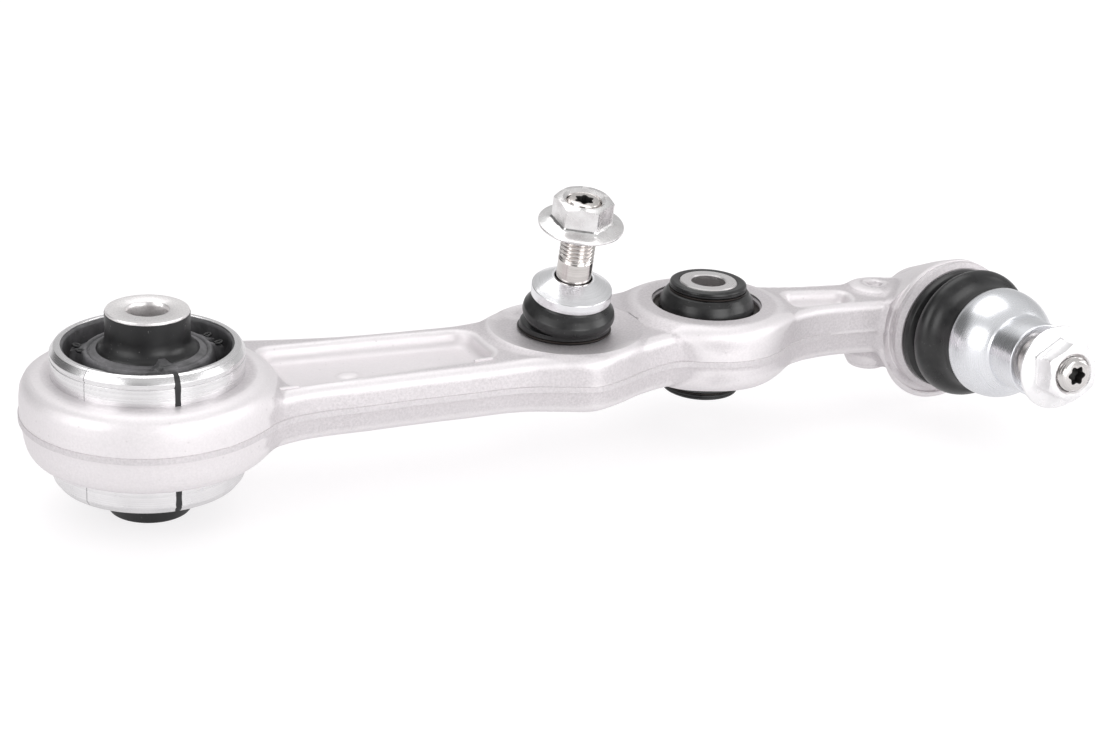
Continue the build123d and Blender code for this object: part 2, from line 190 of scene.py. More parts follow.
table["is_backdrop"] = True


# -------------------------------------------------- forged arm
# Closed-die aluminium forging, shot blasted after trimming. The bores, the link joint's seat and
# the cup's mouth are turned afterwards and stay bright. The field below is its distance function.
FRONT_RAIL = [
    (14, -34.5), (26, -29), (38, -23.8), (70, -22.7), (100, -23.9), (124, -26), (134, -29.6),
    (144.4, -33), (155, -30.4), (168, -24.9), (182, -21.9), (194, -24.2), (206, -27.7),
    (213, -27.2), (224, -22.6), (236, -17.3), (250, -15.6), (264, -17), (280, -20),
]
BACK_RAIL = [
    (14, 36), (30, 32.2), (43, 28.5), (70, 22.4), (101, 19.3), (124, 18.2), (142, 19.8),
    (165, 23.5), (182, 26.5), (204, 28.7), (219, 24.6), (230, 17.2), (244, 11.8), (259, 8.6),
    (280, 6),
]
MID_X, LINK_X, LINK_Y, OUTER_X, OUTER_Y = 204.9, 147.1, -1.2, 297.8, -8.0
EYE_R, CAN_R, LOWER_STEP = 40.2, 30.4, 0.35
DIE_DRAFT = tan(radians(5))
# each pocket's corners, corner radius, and the heights of its rim and floor
POCKETS = [
    ([(41, -16.8), (116, -15.0), (116, 11.0), (78, 14.5), (41, 17.5)], 7.0, 10.2, 3.6),
    ([(236.5, -9.8), (260, -11.4), (263, -1.8), (239.5, 4.2)], 3.5, 11.0, 6.0),
]
POCKET_DRAFT = radians(14)
# turned or drafted bodies as (radius, height) corners, from the low end to the high end
EYE_OUTLINE = [
    (0, -13.2), (EYE_R - 4.8, -13.2), (EYE_R - 2.9, -12.2), (EYE_R - 1.6, -10.2), (EYE_R - 0.8, -7),
    (EYE_R, -1), (EYE_R - 0.1, 6), (EYE_R - 0.5, 9.2), (EYE_R - 1.6, 11.4), (EYE_R - 3.4, 12.7),
    (EYE_R - 5.4, 13.1), (0, 13.1),
]
MID_OUTLINE = [(0, -11.5), (27.4, -11.5), (28.6, 0), (28.0, 11.8), (0, 11.8)]
LINK_OUTLINE = [(0, -9.7), (25, -9.7), (27.6, 4), (27.0, 10.4), (0, 10.4)]
LINK_FOOT = [(0, -12.4), (18.4, -12.4), (19.8, -6), (0, -6)]
CUP_OUTLINE = [
    (0, -17), (8, -16.4), (13.5, -13.5), (17.5, -7), (21.2, 2), (24.6, 9.0), (25.6, 20), (0, 20),
]
LOBE_DROP = 6
LOBE_OUTLINE = [(0, -15), (9, -14), (15, -9), (20.5, 0), (24.4, 7.5), (24.2, 11.2), (0, 11.2)]
POST_X, POST_Y = 276.5, -1.5
POST_OUTLINE = [(0, -20), (6.6, -20), (8.8, -16), (8.8, 10.4), (7.4, 11.4), (0, 11.4)]
DIMPLE_R, DIMPLE_Z = 3.2, 13.2


def eased_rail(rail, at):
    """Smooth curve through the rail's points."""
    x, y = np.array(rail, float).T
    slope = np.gradient(y, x)
    i = np.clip(np.searchsorted(x, at) - 1, 0, len(x) - 2)
    span = x[i + 1] - x[i]
    t = np.clip((at - x[i]) / span, 0, 1)
    h = (1 + 2 * t) * (1 - t) ** 2 * y[i] + t * t * (3 - 2 * t) * y[i + 1]
    h += span * (t * (1 - t) ** 2 * slope[i] - t * t * (1 - t) * slope[i + 1])
    return h


rail_x = np.arange(0.0, 300.0, 0.5)
front_y = eased_rail(FRONT_RAIL, rail_x)
back_y = eased_rail(BACK_RAIL, rail_x)
front_cos = 1 / np.hypot(1, np.gradient(front_y, rail_x))
back_cos = 1 / np.hypot(1, np.gradient(back_y, rail_x))


def fade(value, low, high):
    """Smooth step from 0 at low to 1 at high."""
    t = np.clip((value - low) / (high - low), 0, 1)
    return t * t * (3 - 2 * t)


def round_and(a, b, k):
    """Overlap of two fields, with the edge rounded to radius k."""
    corner = np.hypot(np.maximum(a + k, 0), np.maximum(b + k, 0))
    return np.minimum(np.maximum(a, b), -k) + corner


def round_or(a, b, k):
    """Sum of two fields, with a fillet of radius k where they meet."""
    return -round_and(-a, -b, k)


def turned_field(outline, r, s, k):
    """Convex turned body from (radius, height) corners, listed from its low end to its high end."""
    field, last = None, None
    for (r0, s0), (r1, s1) in zip(outline, outline[1:]):
        size = hypot(r1 - r0, s1 - s0)
        normal = np.array((s1 - s0, r0 - r1)) / size
        face = (r - r0) * normal[0] + (s - s0) * normal[1]
        if field is None:
            field = face
        else:
            turn_share = 1 - abs(float(normal @ last))
            field = round_and(field, face, max(k * turn_share, 0.05))
        last = normal
    return field


def pocket_field(corners, corner_k, rim, floor, x, y, depth):
    """Die pocket: drafted walls, a rounded floor and rounded corners."""
    plan, last = None, None
    for (x0, y0), (x1, y1) in zip(corners, corners[1:] + corners[:1]):
        normal = np.array((y1 - y0, x0 - x1)) / hypot(x1 - x0, y1 - y0)
        face = (x - x0) * normal[0] + (y - y0) * normal[1]
        share = 1 if last is None else 1 - abs(float(normal @ last))
        plan = face if plan is None else round_and(plan, face, max(corner_k * share, 0.05))
        last = normal
    wall = (plan + (rim - depth) * tan(POCKET_DRAFT)) * cos(POCKET_DRAFT)
    return round_and(wall, floor - depth, 3.0)


def pockets_field(x, y, depth):
    """Both die pockets of one side."""
    long_cut, short_cut = (pocket_field(*pocket, x, y, depth) for pocket in POCKETS)
    return np.minimum(long_cut, short_cut)


def arm_field(x, y, z):
    """Distance to the forging's blasted skin, before any turning."""
    down = np.maximum(-z, 0)
    step = LOWER_STEP * fade(down, 0.2, 1.2)
    pull = np.abs(z) * DIE_DRAFT + step
    front = (np.interp(x, rail_x, front_y) + pull - y) * np.interp(x, rail_x, front_cos)
    back = (y - np.interp(x, rail_x, back_y) + pull) * np.interp(x, rail_x, back_cos)
    top = z - 8.7 - 1.7 * fade(x, 110, 138)
    beam = round_and(np.maximum(front, back), top, 3.2 - 1.0 * fade(x, 205, 225))
    beam = round_and(beam, -9.7 - z, 3.0)
    beam = np.maximum(beam, np.maximum(14 - x, x - 282))
    eye_r = np.hypot(x, y) + step
    eye = turned_field(EYE_OUTLINE, eye_r, z, 1.2)
    mid_r = np.hypot(x - MID_X, y) + step
    mid = turned_field(MID_OUTLINE, mid_r, z, 3.4)
    link_r = np.hypot(x - LINK_X, y - LINK_Y) + step
    link = turned_field(LINK_OUTLINE, link_r, z, 2.6)
    foot = turned_field(LINK_FOOT, link_r, z, 1.6)
    body = round_or(beam, eye, 5.0)
    body = round_or(body, mid, 5.0)
    body = round_or(body, link, 3.0)
    body = round_or(body, foot, 2.5)
    s = OUTER_Y - y
    cup_r = np.hypot(x - OUTER_X, z)
    cone = turned_field(CUP_OUTLINE, cup_r, s, 3.0)
    lobe_r = np.hypot(x - OUTER_X, z + LOBE_DROP)
    lobe = turned_field(LOBE_OUTLINE, lobe_r, s, 2.6)
    post_r = np.hypot(x - POST_X, y - POST_Y)
    post = turned_field(POST_OUTLINE, post_r, z, 1.6)
    cup = round_or(cone, lobe, 4.0)
    body = round_or(body, cup, 8.0)
    body = round_or(body, post, 4.0)
    dimple = DIMPLE_R - np.hypot(post_r, z - DIMPLE_Z)
    body = round_and(body, dimple, 0.6)
    for side in (1, -1):
        body = round_and(body, -pockets_field(x, y, side * z), 1.7)
    pad = np.hypot(np.hypot((x - 66.6) * 0.7, y + 3.0), (z - 3.4) * 3.6) - 2.6
    return round_or(body, pad, 0.5)


def settle(field, points, rounds):
    """Moves points onto the field's surface along its slope."""
    for _ in range(rounds):
        value = field(*points.T)
        slope = np.empty_like(points)
        for axis in range(3):
            shift = np.zeros(3)
            shift[axis] = 0.05
            slope[:, axis] = (field(*(points + shift).T) - field(*(points - shift).T)) / 0.1
        size = np.maximum((slope ** 2).sum(1), 0.2)
        points = points - np.clip(value / size, -0.8, 0.8)[:, None] * slope
    return points


def skin_of(field, low, high, pitch):
    """Quads over the field's surface: one point in each grid cell that it crosses."""
    axes = [np.arange(a, b + pitch, pitch) for a, b in zip(low, high)]
    value = field(*np.meshgrid(*axes, indexing="ij"))
    inside = value < 0
    cells = tuple(n - 1 for n in value.shape)
    total, count = np.zeros(cells + (3,)), np.zeros(cells)
    for corner in np.ndindex(2, 2, 2):
        for axis in range(3):
            if corner[axis]:
                continue
            other = list(corner)
            other[axis] = 1
            a = value[tuple(slice(c, c + n) for c, n in zip(corner, cells))]
            b = value[tuple(slice(c, c + n) for c, n in zip(other, cells))]
            crossed = (a < 0) != (b < 0)
            share = np.where(crossed, a / np.where(crossed, a - b, 1), 0)
            for part in range(3):
                total[..., part] += crossed * corner[part] + (share if part == axis else 0)
            count += crossed
    used = np.argwhere(count > 0)
    number = np.full(cells, -1)
    number[tuple(used.T)] = np.arange(len(used))
    at = tuple(used.T)
    points = np.array(low) + pitch * (used + total[at] / count[at][:, None])
    quads = []
    for axis in range(3):
        u, v = (axis + 1) % 3, (axis + 2) % 3
        near, far = [slice(1, -1)] * 3, [slice(1, -1)] * 3
        near[axis], far[axis] = slice(0, -1), slice(1, None)
        a, b = inside[tuple(near)], inside[tuple(far)]
        where = np.argwhere(a != b)
        outward = a[tuple(where.T)]
        where[:, u] += 1
        where[:, v] += 1
        ring = []
        for du, dv in ((-1, -1), (0, -1), (0, 0), (-1, 0)):
            cell = where.copy()
            cell[:, u] += du
            cell[:, v] += dv
            ring.append(number[tuple(cell.T)])
        ring = np.stack(ring, 1)
        ring[~outward] = ring[~outward][:, ::-1]
        quads.append(ring)
    quads = np.vstack(quads)
    ends = np.vstack([quads[:, [i, (i + 1) % 4]] for i in range(4)])
    ends = np.vstack([ends, ends[:, ::-1]])
    degree = np.bincount(ends[:, 0], minlength=len(points))[:, None]
    points = settle(field, points, 2)
    for _ in range(3):
        around = [np.bincount(ends[:, 0], points[ends[:, 1], i], len(points)) for i in range(3)]
        mean = np.stack(around, 1) / degree
        points = settle(field, 0.45 * points + 0.55 * mean, 1)
    return settle(field, points, 1), quads


def piece(name, points, faces, material=None, smooth=True, sharp=38):
    """A new object from points in millimetres, with faces turned outwards and crisp edges kept."""
    mesh = bpy.data.meshes.new(name)
    mesh.from_pydata((np.asarray(points, float) * MM).tolist(), [], [list(map(int, f)) for f in faces])
    work = bmesh.new()
    work.from_mesh(mesh)
    bmesh.ops.recalc_face_normals(work, faces=work.faces)
    work.to_mesh(mesh)
    work.free()
    if smooth:
        mesh.shade_smooth()
        mesh.set_sharp_from_angle(angle=radians(sharp))
    made = bpy.data.objects.new(name, mesh)
    if material:
        mesh.materials.append(material)
    scene.collection.objects.link(made)
    return made


def ring_stack(rows, sides=96, start=0.0, sweep=2 * pi, loop=True):
    """Points and faces of a turned shape. Each row is (radius, height), either of them a number or one value
    per side; a row at radius 0 is one point. A part turn gets flat ends."""
    whole = abs(sweep - 2 * pi) < 1e-9
    angles = start + sweep * np.arange(sides) / (sides if whole else sides - 1)
    points, index = [], []
    for r, s in rows:
        if np.ndim(r) == 0 and r < 1e-6:
            index.append([len(points)] * sides)
            points.append((0.0, 0.0, float(np.mean(s))))
            continue
        r, s = np.broadcast_to(r, sides), np.broadcast_to(s, sides)
        index.append(list(range(len(points), len(points) + sides)))
        points.extend(zip(r * np.cos(angles), r * np.sin(angles), s))
    faces = []
    pairs = list(zip(index, index[1:])) + ([(index[-1], index[0])] if loop else [])
    for low, high in pairs:
        for i in range(sides if whole else sides - 1):
            j = (i + 1) % sides
            corner = list(dict.fromkeys((low[i], low[j], high[j], high[i])))
            if len(corner) > 2:
                faces.append(corner)
    if not whole:
        faces.append([row[0] for row in index])
        faces.append([row[-1] for row in index][::-1])
    return np.array(points, float), faces


def eased(outline, steps=4, loop=True):
    """A turned outline with arcs at its corners. A corner with two values stays sharp, and its third
    value, where it has one, is the arc's radius."""
    out, n = [], len(outline)
    for i, corner in enumerate(outline):
        here = np.array(corner[:2], float)
        arc = corner[2] if len(corner) > 2 else 0
        if not arc or (not loop and i in (0, n - 1)):
            out.append(tuple(here))
            continue
        u, v = np.array(outline[i - 1][:2]) - here, np.array(outline[(i + 1) % n][:2]) - here
        lu, lv = np.linalg.norm(u), np.linalg.norm(v)
        u, v = u / lu, v / lv
        half = np.arccos(np.clip(u @ v, -1, 1)) / 2
        if half > radians(87):
            out.append(tuple(here))
            continue
        reach = min(arc / tan(half), 0.48 * lu, 0.48 * lv)
        arc = reach * tan(half)
        middle = here + (u + v) / np.linalg.norm(u + v) * arc / sin(half)
        a, b = here + u * reach - middle, here + v * reach - middle
        first = atan2(a[1], a[0])
        swing = (atan2(b[1], b[0]) - first + pi) % (2 * pi) - pi
        for t in np.linspace(0, 1, steps + 1):
            out.append((middle[0] + arc * cos(first + swing * t), middle[1] + arc * sin(first + swing * t)))
    return out


def axis_place(origin, direction):
    """Returns a function that stands local +Z points on origin, along direction."""
    z = np.array(direction, float) / np.linalg.norm(direction)
    x = np.array((1, 0, 0.0001)) - z * (np.array((1, 0, 0.0001)) @ z)
    x /= np.linalg.norm(x)
    turn = np.stack([x, np.cross(z, x), z], 1)
    return lambda p: np.asarray(p) @ turn.T + np.array(origin, float)


def joined(parts):
    """Several (points, faces) as one."""
    points, faces, base = [], [], 0
    for p, f in parts:
        points.append(np.asarray(p, float))
        faces += [[i + base for i in face] for face in f]
        base += len(p)
    return np.vstack(points), faces


MAIN_AT = axis_place((0, 0, 0), (0, 0, 1))
MID_AT = axis_place((MID_X, 0, 0), (0, 0, 1))
LINK_AT = axis_place((LINK_X, LINK_Y, 0), (0, 0, 1))
CUP_AT = axis_place((OUTER_X, OUTER_Y, 0), (0, -1, 0))

FIELD_LOW, FIELD_HIGH, FIELD_PITCH = (-42.4, -42.6, -33.0), (326.0, 43.4, 28.0), 1.12
skin_points, skin_quads = skin_of(arm_field, FIELD_LOW, FIELD_HIGH, FIELD_PITCH)
arm = piece("forged_arm", skin_points, skin_quads, smooth=False)

# what the lathe takes off at each place; in the cup it reaches only the mouth
EYE_CUT = [(0, -40), (CAN_R, -40), (CAN_R, 40), (0, 40)]
MID_CUT = [
    (0, -40), (20.4, -40), (20.4, -11.3), (19.15, -10.5), (19.15, 11.2), (19.7, 11.85), (19.7, 40),
    (0, 40),
]
LINK_CUT = [
    (0, -40), (12.05, -40), (12.05, -9.6), (10.5, -9.6), (10.5, 4.2), (9.8, 5.4), (9.8, 9.4),
    (21.3, 9.4), (27.5, 10.9), (27.5, 40), (0, 40),
]
CUP_CUT = [
    (0, -14.2), (6.5, -12.9), (11, -9.6), (14.2, -4), (15, 0), (15, 9), (20, 9), (20, 12.4),
    (21.4, 12.4), (21.4, 15.7), (23.0, 15.7), (24.6, 14.2), (24.6, 12.5), (24.25, 12.3),
    (24.25, 11.9), (24.6, 11.7), (24.6, 10.2), (25.0, 9.9), (27.5, 9.9), (27.5, 60), (0, 60),
]
cutters = []
for outline, place in ((EYE_CUT, MAIN_AT), (MID_CUT, MID_AT), (LINK_CUT, LINK_AT), (CUP_CUT, CUP_AT)):
    points, faces = ring_stack(outline, 160)
    cutters.append((place(points), faces))
cutter = piece("cutter", *joined(cutters), smooth=False)
bore = arm.modifiers.new("bores", "BOOLEAN")
bore.operation = "DIFFERENCE"
bore.solver = "MANIFOLD"
bore.object = cutter
bored = bpy.data.meshes.new_from_object(arm.evaluated_get(bpy.context.evaluated_depsgraph_get()))
arm.modifiers.clear()
arm.data = bored
arm.data.name = "forged_arm"
bpy.data.objects.remove(cutter)
arm_mesh = arm.data


def new_group(name, inputs, outputs):
    """An empty shader node group with named sockets, as (group, its input values, its output node)."""
    group = bpy.data.node_groups.new(name, "ShaderNodeTree")
    for label, kind, value in inputs:
        socket = group.interface.new_socket(label, in_out="INPUT", socket_type=kind)
        if value is not None:
            socket.default_value = value
    for label in outputs:
        group.interface.new_socket(label, in_out="OUTPUT", socket_type="NodeSocketFloat")
    return group, add_node(group, "NodeGroupInput").outputs, add_node(group, "NodeGroupOutput")


def noise(tree, vector, scale, detail=2.0, roughness=0.5):
    """Noise value at a scale."""
    values = {"Vector": vector, "Scale": scale, "Detail": detail, "Roughness": roughness}
    return add_node(tree, "ShaderNodeTexNoise", values).outputs[0]


def maths(tree, operation, a, b=0.0):
    """One maths node's result."""
    return add_node(tree, "ShaderNodeMath", {0: a, 1: b}, operation=operation).outputs[0]


def spread(tree, value, low, high, to_low=0.0, to_high=1.0):
    """Value stretched from low..high to to_low..to_high, and held there."""
    made = add_node(tree, "ShaderNodeMapRange", {0: value, 1: low, 2: high, 3: to_low, 4: to_high})
    return made.outputs[0]


def blended(tree, factor, a, b):
    """Colour a where factor is 0 and b where it is 1."""
    a, b = ((*c, 1) if isinstance(c, tuple) else c for c in (a, b))
    made = add_node(tree, "ShaderNodeMix", data_type="RGBA")
    for socket, value in zip((made.inputs[0], made.inputs[6], made.inputs[7]), (factor, a, b)):
        if isinstance(value, bpy.types.NodeSocket):
            tree.links.new(value, socket)
        else:
            socket.default_value = value
    return made.outputs[2]


blast_grain, given, put = new_group(
    "blast_grain",
    [
        ("Vector", "NodeSocketVector", None),
        ("Grain", "NodeSocketFloat", 1500.0),
        ("Patch", "NodeSocketFloat", 60.0),
    ],
    ["Height", "Speckle", "Cloud"],
)
fine = noise(blast_grain, given["Vector"], given["Grain"], detail=3.0, roughness=0.65)
coarse_scale = maths(blast_grain, "MULTIPLY", given["Grain"], 0.36)
coarse = noise(blast_grain, given["Vector"], coarse_scale)
patch = noise(blast_grain, given["Vector"], given["Patch"], detail=3.0)
fine_share = maths(blast_grain, "MULTIPLY", fine, 0.6)
coarse_share = maths(blast_grain, "MULTIPLY", coarse, 0.5)
blast_grain.links.new(maths(blast_grain, "ADD", fine_share, coarse_share), put.inputs["Height"])
blast_grain.links.new(spread(blast_grain, fine, 0.34, 0.66), put.inputs["Speckle"])
blast_grain.links.new(spread(blast_grain, patch, 0.34, 0.66), put.inputs["Cloud"])

turning_marks, given, put = new_group(
    "turning_marks",
    [("Vector", "NodeSocketVector", None), ("Pitch", "NodeSocketFloat", 4000.0)],
    ["Height", "Line"],
)
part = add_node(turning_marks, "ShaderNodeSeparateXYZ", {0: given["Vector"]}).outputs
flat = add_node(turning_marks, "ShaderNodeCombineXYZ", {0: part[0], 1: part[1]}).outputs[0]
from_axis = add_node(turning_marks, "ShaderNodeVectorMath", {0: flat}, operation="LENGTH").outputs["Value"]
chatter = maths(turning_marks, "MULTIPLY", noise(turning_marks, flat, 90.0), 0.0002)
where = add_node(turning_marks, "ShaderNodeCombineXYZ", {0: from_axis, 1: part[2], 2: chatter}).outputs[0]
cut = noise(turning_marks, where, given["Pitch"])
turning_marks.links.new(cut, put.inputs["Height"])
turning_marks.links.new(spread(turning_marks, cut, 0.3, 0.7), put.inputs["Line"])


def placed(tree, origin, direction):
    """Object coordinates, re-centred and turned so that the piece's axis is Z. Origin in millimetres."""
    lean = Vector(direction).to_track_quat("Z", "Y").to_euler()
    values = {"Vector": object_place(tree), "Location": [c * MM for c in origin], "Rotation": lean}
    return add_node(tree, "ShaderNodeMapping", values, vector_type="TEXTURE").outputs[0]


def grained(tree, grain=1500.0, patch=60.0, vector=None):
    """The blasting pattern's outputs, with its grain and patches at the given scales."""
    values = {"Vector": vector or object_place(tree), "Grain": grain, "Patch": patch}
    return add_node(tree, "ShaderNodeGroup", values, node_tree=blast_grain).outputs


def bumped(tree, shader, height, strength, depth):
    """Feeds a height in millimetres of depth to the shader's normal."""
    bump = add_node(tree, "ShaderNodeBump", {"Height": height, "Strength": strength, "Distance": depth * MM})
    tree.links.new(bump.outputs[0], shader.inputs["Normal"])


def turned_metal(name, origin, direction, dark, light, rough, pitch=3200.0, depth=0.02, **values):
    """Bright metal off a lathe: fine feed marks round its own axis, and faint clouding from handling."""
    material, tree, shader = new_material(name, Metallic=1.0, **values)
    along = {"Vector": placed(tree, origin, direction), "Pitch": pitch}
    marks = add_node(tree, "ShaderNodeGroup", along, node_tree=turning_marks).outputs
    cloud = grained(tree, 2400.0, 140.0)["Cloud"]
    line_share = maths(tree, "MULTIPLY", marks["Line"], 0.65)
    tone = maths(tree, "ADD", line_share, maths(tree, "MULTIPLY", cloud, 0.35))
    tree.links.new(blended(tree, tone, dark, light), shader.inputs["Base Color"])
    tree.links.new(spread(tree, tone, 0.0, 1.0, rough[1], rough[0]), shader.inputs["Roughness"])
    bumped(tree, shader, marks["Height"], 0.5, depth)
    return material


TURNED_DEPTH, MOUTH_X = 0.07, OUTER_X - 27
BEND_REACH, FULL_BEND = 1.6, 0.9
centres = np.zeros(len(arm_mesh.polygons) * 3)
arm_mesh.polygons.foreach_get("center", centres)
centres = centres.reshape(-1, 3) / MM
turned_face = arm_field(*centres.T) < -TURNED_DEPTH
spots = np.zeros(len(arm_mesh.vertices) * 3)
arm_mesh.vertices.foreach_get("co", spots)
spots = spots.reshape(-1, 3) / MM
# the field's bend at each point: convex edges get a painted highlight from it, and creases and fillets a
# painted shade
bend = np.zeros(len(spots))
for axis in range(3):
    shift = np.zeros(3)
    shift[axis] = BEND_REACH
    bend += arm_field(*(spots + shift).T) + arm_field(*(spots - shift).T) - 2 * arm_field(*spots.T)
# how far each point lies inside a die pocket; this drives the painted light on the pocket floors and walls
in_pocket = np.zeros(len(spots))
for side in (1, -1):
    depth = -pockets_field(spots[:, 0], spots[:, 1], side * spots[:, 2])
    in_pocket = np.maximum(in_pocket, fade(depth, -0.9, 0.3))
for label, values in (("edge", np.clip(bend / FULL_BEND, -1, 1)), ("pocket", in_pocket)):
    layer = arm_mesh.attributes.new(label, "FLOAT", "POINT")
    layer.data.foreach_set("value", values.astype(np.float32))
work = bmesh.new()
work.from_mesh(arm_mesh)
work.faces.ensure_lookup_table()
for face in work.faces:
    face.smooth = True
    at_mouth = face.calc_center_median().x > MOUTH_X * MM
    face.material_index = int(turned_face[face.index]) * (2 if at_mouth else 1)
for edge in work.edges:
    kinds = sum(face.material_index > 0 for face in edge.link_faces)
    edge.smooth = kinds == 0 or (kinds == 2 and edge.calc_face_angle(0) < radians(24))
work.to_mesh(arm_mesh)
work.free()

forged, tree, shader = new_material("forged_aluminium", Metallic=0.55)
grain = grained(tree, 1250.0, 55.0)
pits = add_node(tree, "ShaderNodeTexVoronoi", {"Vector": object_place(tree), "Scale": 210.0})
edge = add_node(tree, "ShaderNodeAttribute", attribute_name="edge").outputs["Fac"]
pocket_light = add_node(tree, "ShaderNodeAttribute", attribute_name="pocket").outputs["Fac"]
skin = blended(tree, grain["Speckle"], (0.575, 0.546, 0.562), (0.700, 0.667, 0.685))
skin = blended(tree, maths(tree, "MULTIPLY", grain["Cloud"], 0.35), skin, (0.645, 0.614, 0.631))
# painted light: pocket floors and walls are lightened to stand in for the light they catch
skin = blended(tree, maths(tree, "MULTIPLY", pocket_light, 0.85), skin, (0.86, 0.826, 0.842))
# painted highlight along convex edges, then painted shade in the creases and fillets
skin = blended(tree, spread(tree, edge, 0.14, 0.70, 0.0, 0.55), skin, (0.90, 0.87, 0.885))
skin = blended(tree, spread(tree, edge, -0.1, -0.8, 0.0, 0.22), skin, (0.58, 0.55, 0.565))
skin = blended(tree, spread(tree, pits.outputs["Distance"], 0.10, 0.03, 0.0, 0.30), skin, (0.45, 0.42, 0.43))
tree.links.new(skin, shader.inputs["Base Color"])
tree.links.new(spread(tree, grain["Cloud"], 0.0, 1.0, 0.56, 0.48), shader.inputs["Roughness"])
bumped(tree, shader, grain["Height"], 0.55, 0.11)
turned_bore = turned_metal(
    "turned_bore", (LINK_X, LINK_Y, 0), (0, 0, 1), (0.60, 0.59, 0.60), (0.80, 0.79, 0.795), (0.30, 0.42),
)
turned_mouth = turned_metal(
    "turned_mouth", (OUTER_X, OUTER_Y, 0), (0, -1, 0), (0.56, 0.55, 0.56), (0.86, 0.85, 0.86),
    (0.16, 0.24), Anisotropic=0.75,
)
# the lathe's marks run round the mouth, so its shine is stretched across them
tree = turned_mouth.node_tree
cup_centre = (OUTER_X * MM, OUTER_Y * MM, 0)
from_centre = {0: object_place(tree), 1: cup_centre}
outwards = add_node(tree, "ShaderNodeVectorMath", from_centre, operation="SUBTRACT").outputs[0]
crossed = {0: outwards, 1: (0, -1, 0)}
around = add_node(tree, "ShaderNodeVectorMath", crossed, operation="CROSS_PRODUCT")
tree.links.new(around.outputs[0], tree.nodes["Principled BSDF"].inputs["Tangent"])
arm_mesh.materials.clear()
for finish in (forged, turned_bore, turned_mouth):
    arm_mesh.materials.append(finish)
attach(arm, "arm")
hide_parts("arm_forging")


# -------------------------------------------------- trimmed flash line and raised die marks
# The dies meet at half height. The flash is sheared off there and leaves a narrow belt all round the
# arm. Short raised bars on the front rib are cut into the die, as is the pad in the pocket.
def node_piece(name, base, build, settings, material):
    """Runs a Geometry Nodes tree on an object, with its inputs set by identifier, as a plain mesh piece."""
    group = bpy.data.node_groups.new(name, "GeometryNodeTree")
    group.interface.new_socket("Geometry", in_out="INPUT", socket_type="NodeSocketGeometry")
    for label, value in settings.items():
        socket = group.interface.new_socket(label, in_out="INPUT", socket_type="NodeSocketFloat")
        socket.default_value = value
    group.interface.new_socket("Geometry", in_out="OUTPUT", socket_type="NodeSocketGeometry")
    given = add_node(group, "NodeGroupInput").outputs
    shape = build(group, given)
    solid = add_node(group, "GeometryNodeRealizeInstances", {0: shape})
    coated = add_node(group, "GeometryNodeSetMaterial", {0: solid.outputs[0], "Material": material})
    add_node(group, "NodeGroupOutput", {0: coated.outputs[0]})
    maker = base.modifiers.new(name, "NODES")
    maker.node_group = group
    for item in group.interface.items_tree:
        if item.in_out == "INPUT" and item.name in settings:
            maker[item.identifier] = settings[item.name]
    mesh = bpy.data.meshes.new_from_object(base.evaluated_get(bpy.context.evaluated_depsgraph_get()))
    base.modifiers.clear()
    bpy.data.objects.remove(base)
    made = bpy.data.objects.new(name, mesh)
    mesh.name = name
    scene.collection.objects.link(made)
    work = bmesh.new()
    work.from_mesh(mesh)
    bmesh.ops.recalc_face_normals(work, faces=work.faces)
    work.to_mesh(mesh)
    work.free()
    return made


def line_object(name, points, closed=False):
    """A poly curve through points in millimetres."""
    curve = bpy.data.curves.new(name, "CURVE")
    curve.dimensions = "3D"
    curve.twist_mode = "Z_UP"
    spline = curve.splines.new("POLY")
    spline.points.add(len(points) - 1)
    for knot, point in zip(spline.points, points):
        knot.co = (*[c * MM for c in point], 1)
    spline.use_cyclic_u = closed
    made = bpy.data.objects.new(name, curve)
    scene.collection.objects.link(made)
    return made


def belt_around(group, given):
    """A low flat-topped strip swept along the curve. Its profile's X is outwards and its Y is downwards."""
    half, proud = given["Half height"], given["Proud"]
    buried = maths(group, "MULTIPLY", given["Buried"], -1.0)
    low = maths(group, "MULTIPLY", half, 0.82)
    high = maths(group, "MULTIPLY", half, -0.45)
    top = maths(group, "MULTIPLY", half, -1.0)
    corners = {}
    for number, (x, y) in enumerate(((buried, half), (proud, low), (proud, high), (buried, top)), 1):
        corners[f"Point {number}"] = add_node(group, "ShaderNodeCombineXYZ", {0: x, 1: y}).outputs[0]
    profile = add_node(group, "GeometryNodeCurvePrimitiveQuadrilateral", corners, mode="POINTS")
    sweep = {0: given["Geometry"], 1: profile.outputs[0], "Fill Caps": True}
    return add_node(group, "GeometryNodeCurveToMesh", sweep).outputs[0]


def raised_bars(group, given):
    """A rounded bar on each point."""
    sides = {0: given["Length"], 1: given["Width"], 2: given["Height"]}
    size = add_node(group, "ShaderNodeCombineXYZ", sides).outputs[0]
    block = add_node(group, "GeometryNodeMeshCube", {"Size": size}).outputs[0]
    rounding = {0: block, "Level": 3, "Edge Crease": given["Squareness"]}
    soft = add_node(group, "GeometryNodeSubdivisionSurface", rounding).outputs[0]
    turned = add_node(group, "ShaderNodeCombineXYZ", {2: given["Turn"]}).outputs[0]
    copies = {0: given["Geometry"], "Instance": soft, "Rotation": turned}
    return add_node(group, "GeometryNodeInstanceOnPoints", copies).outputs[0]


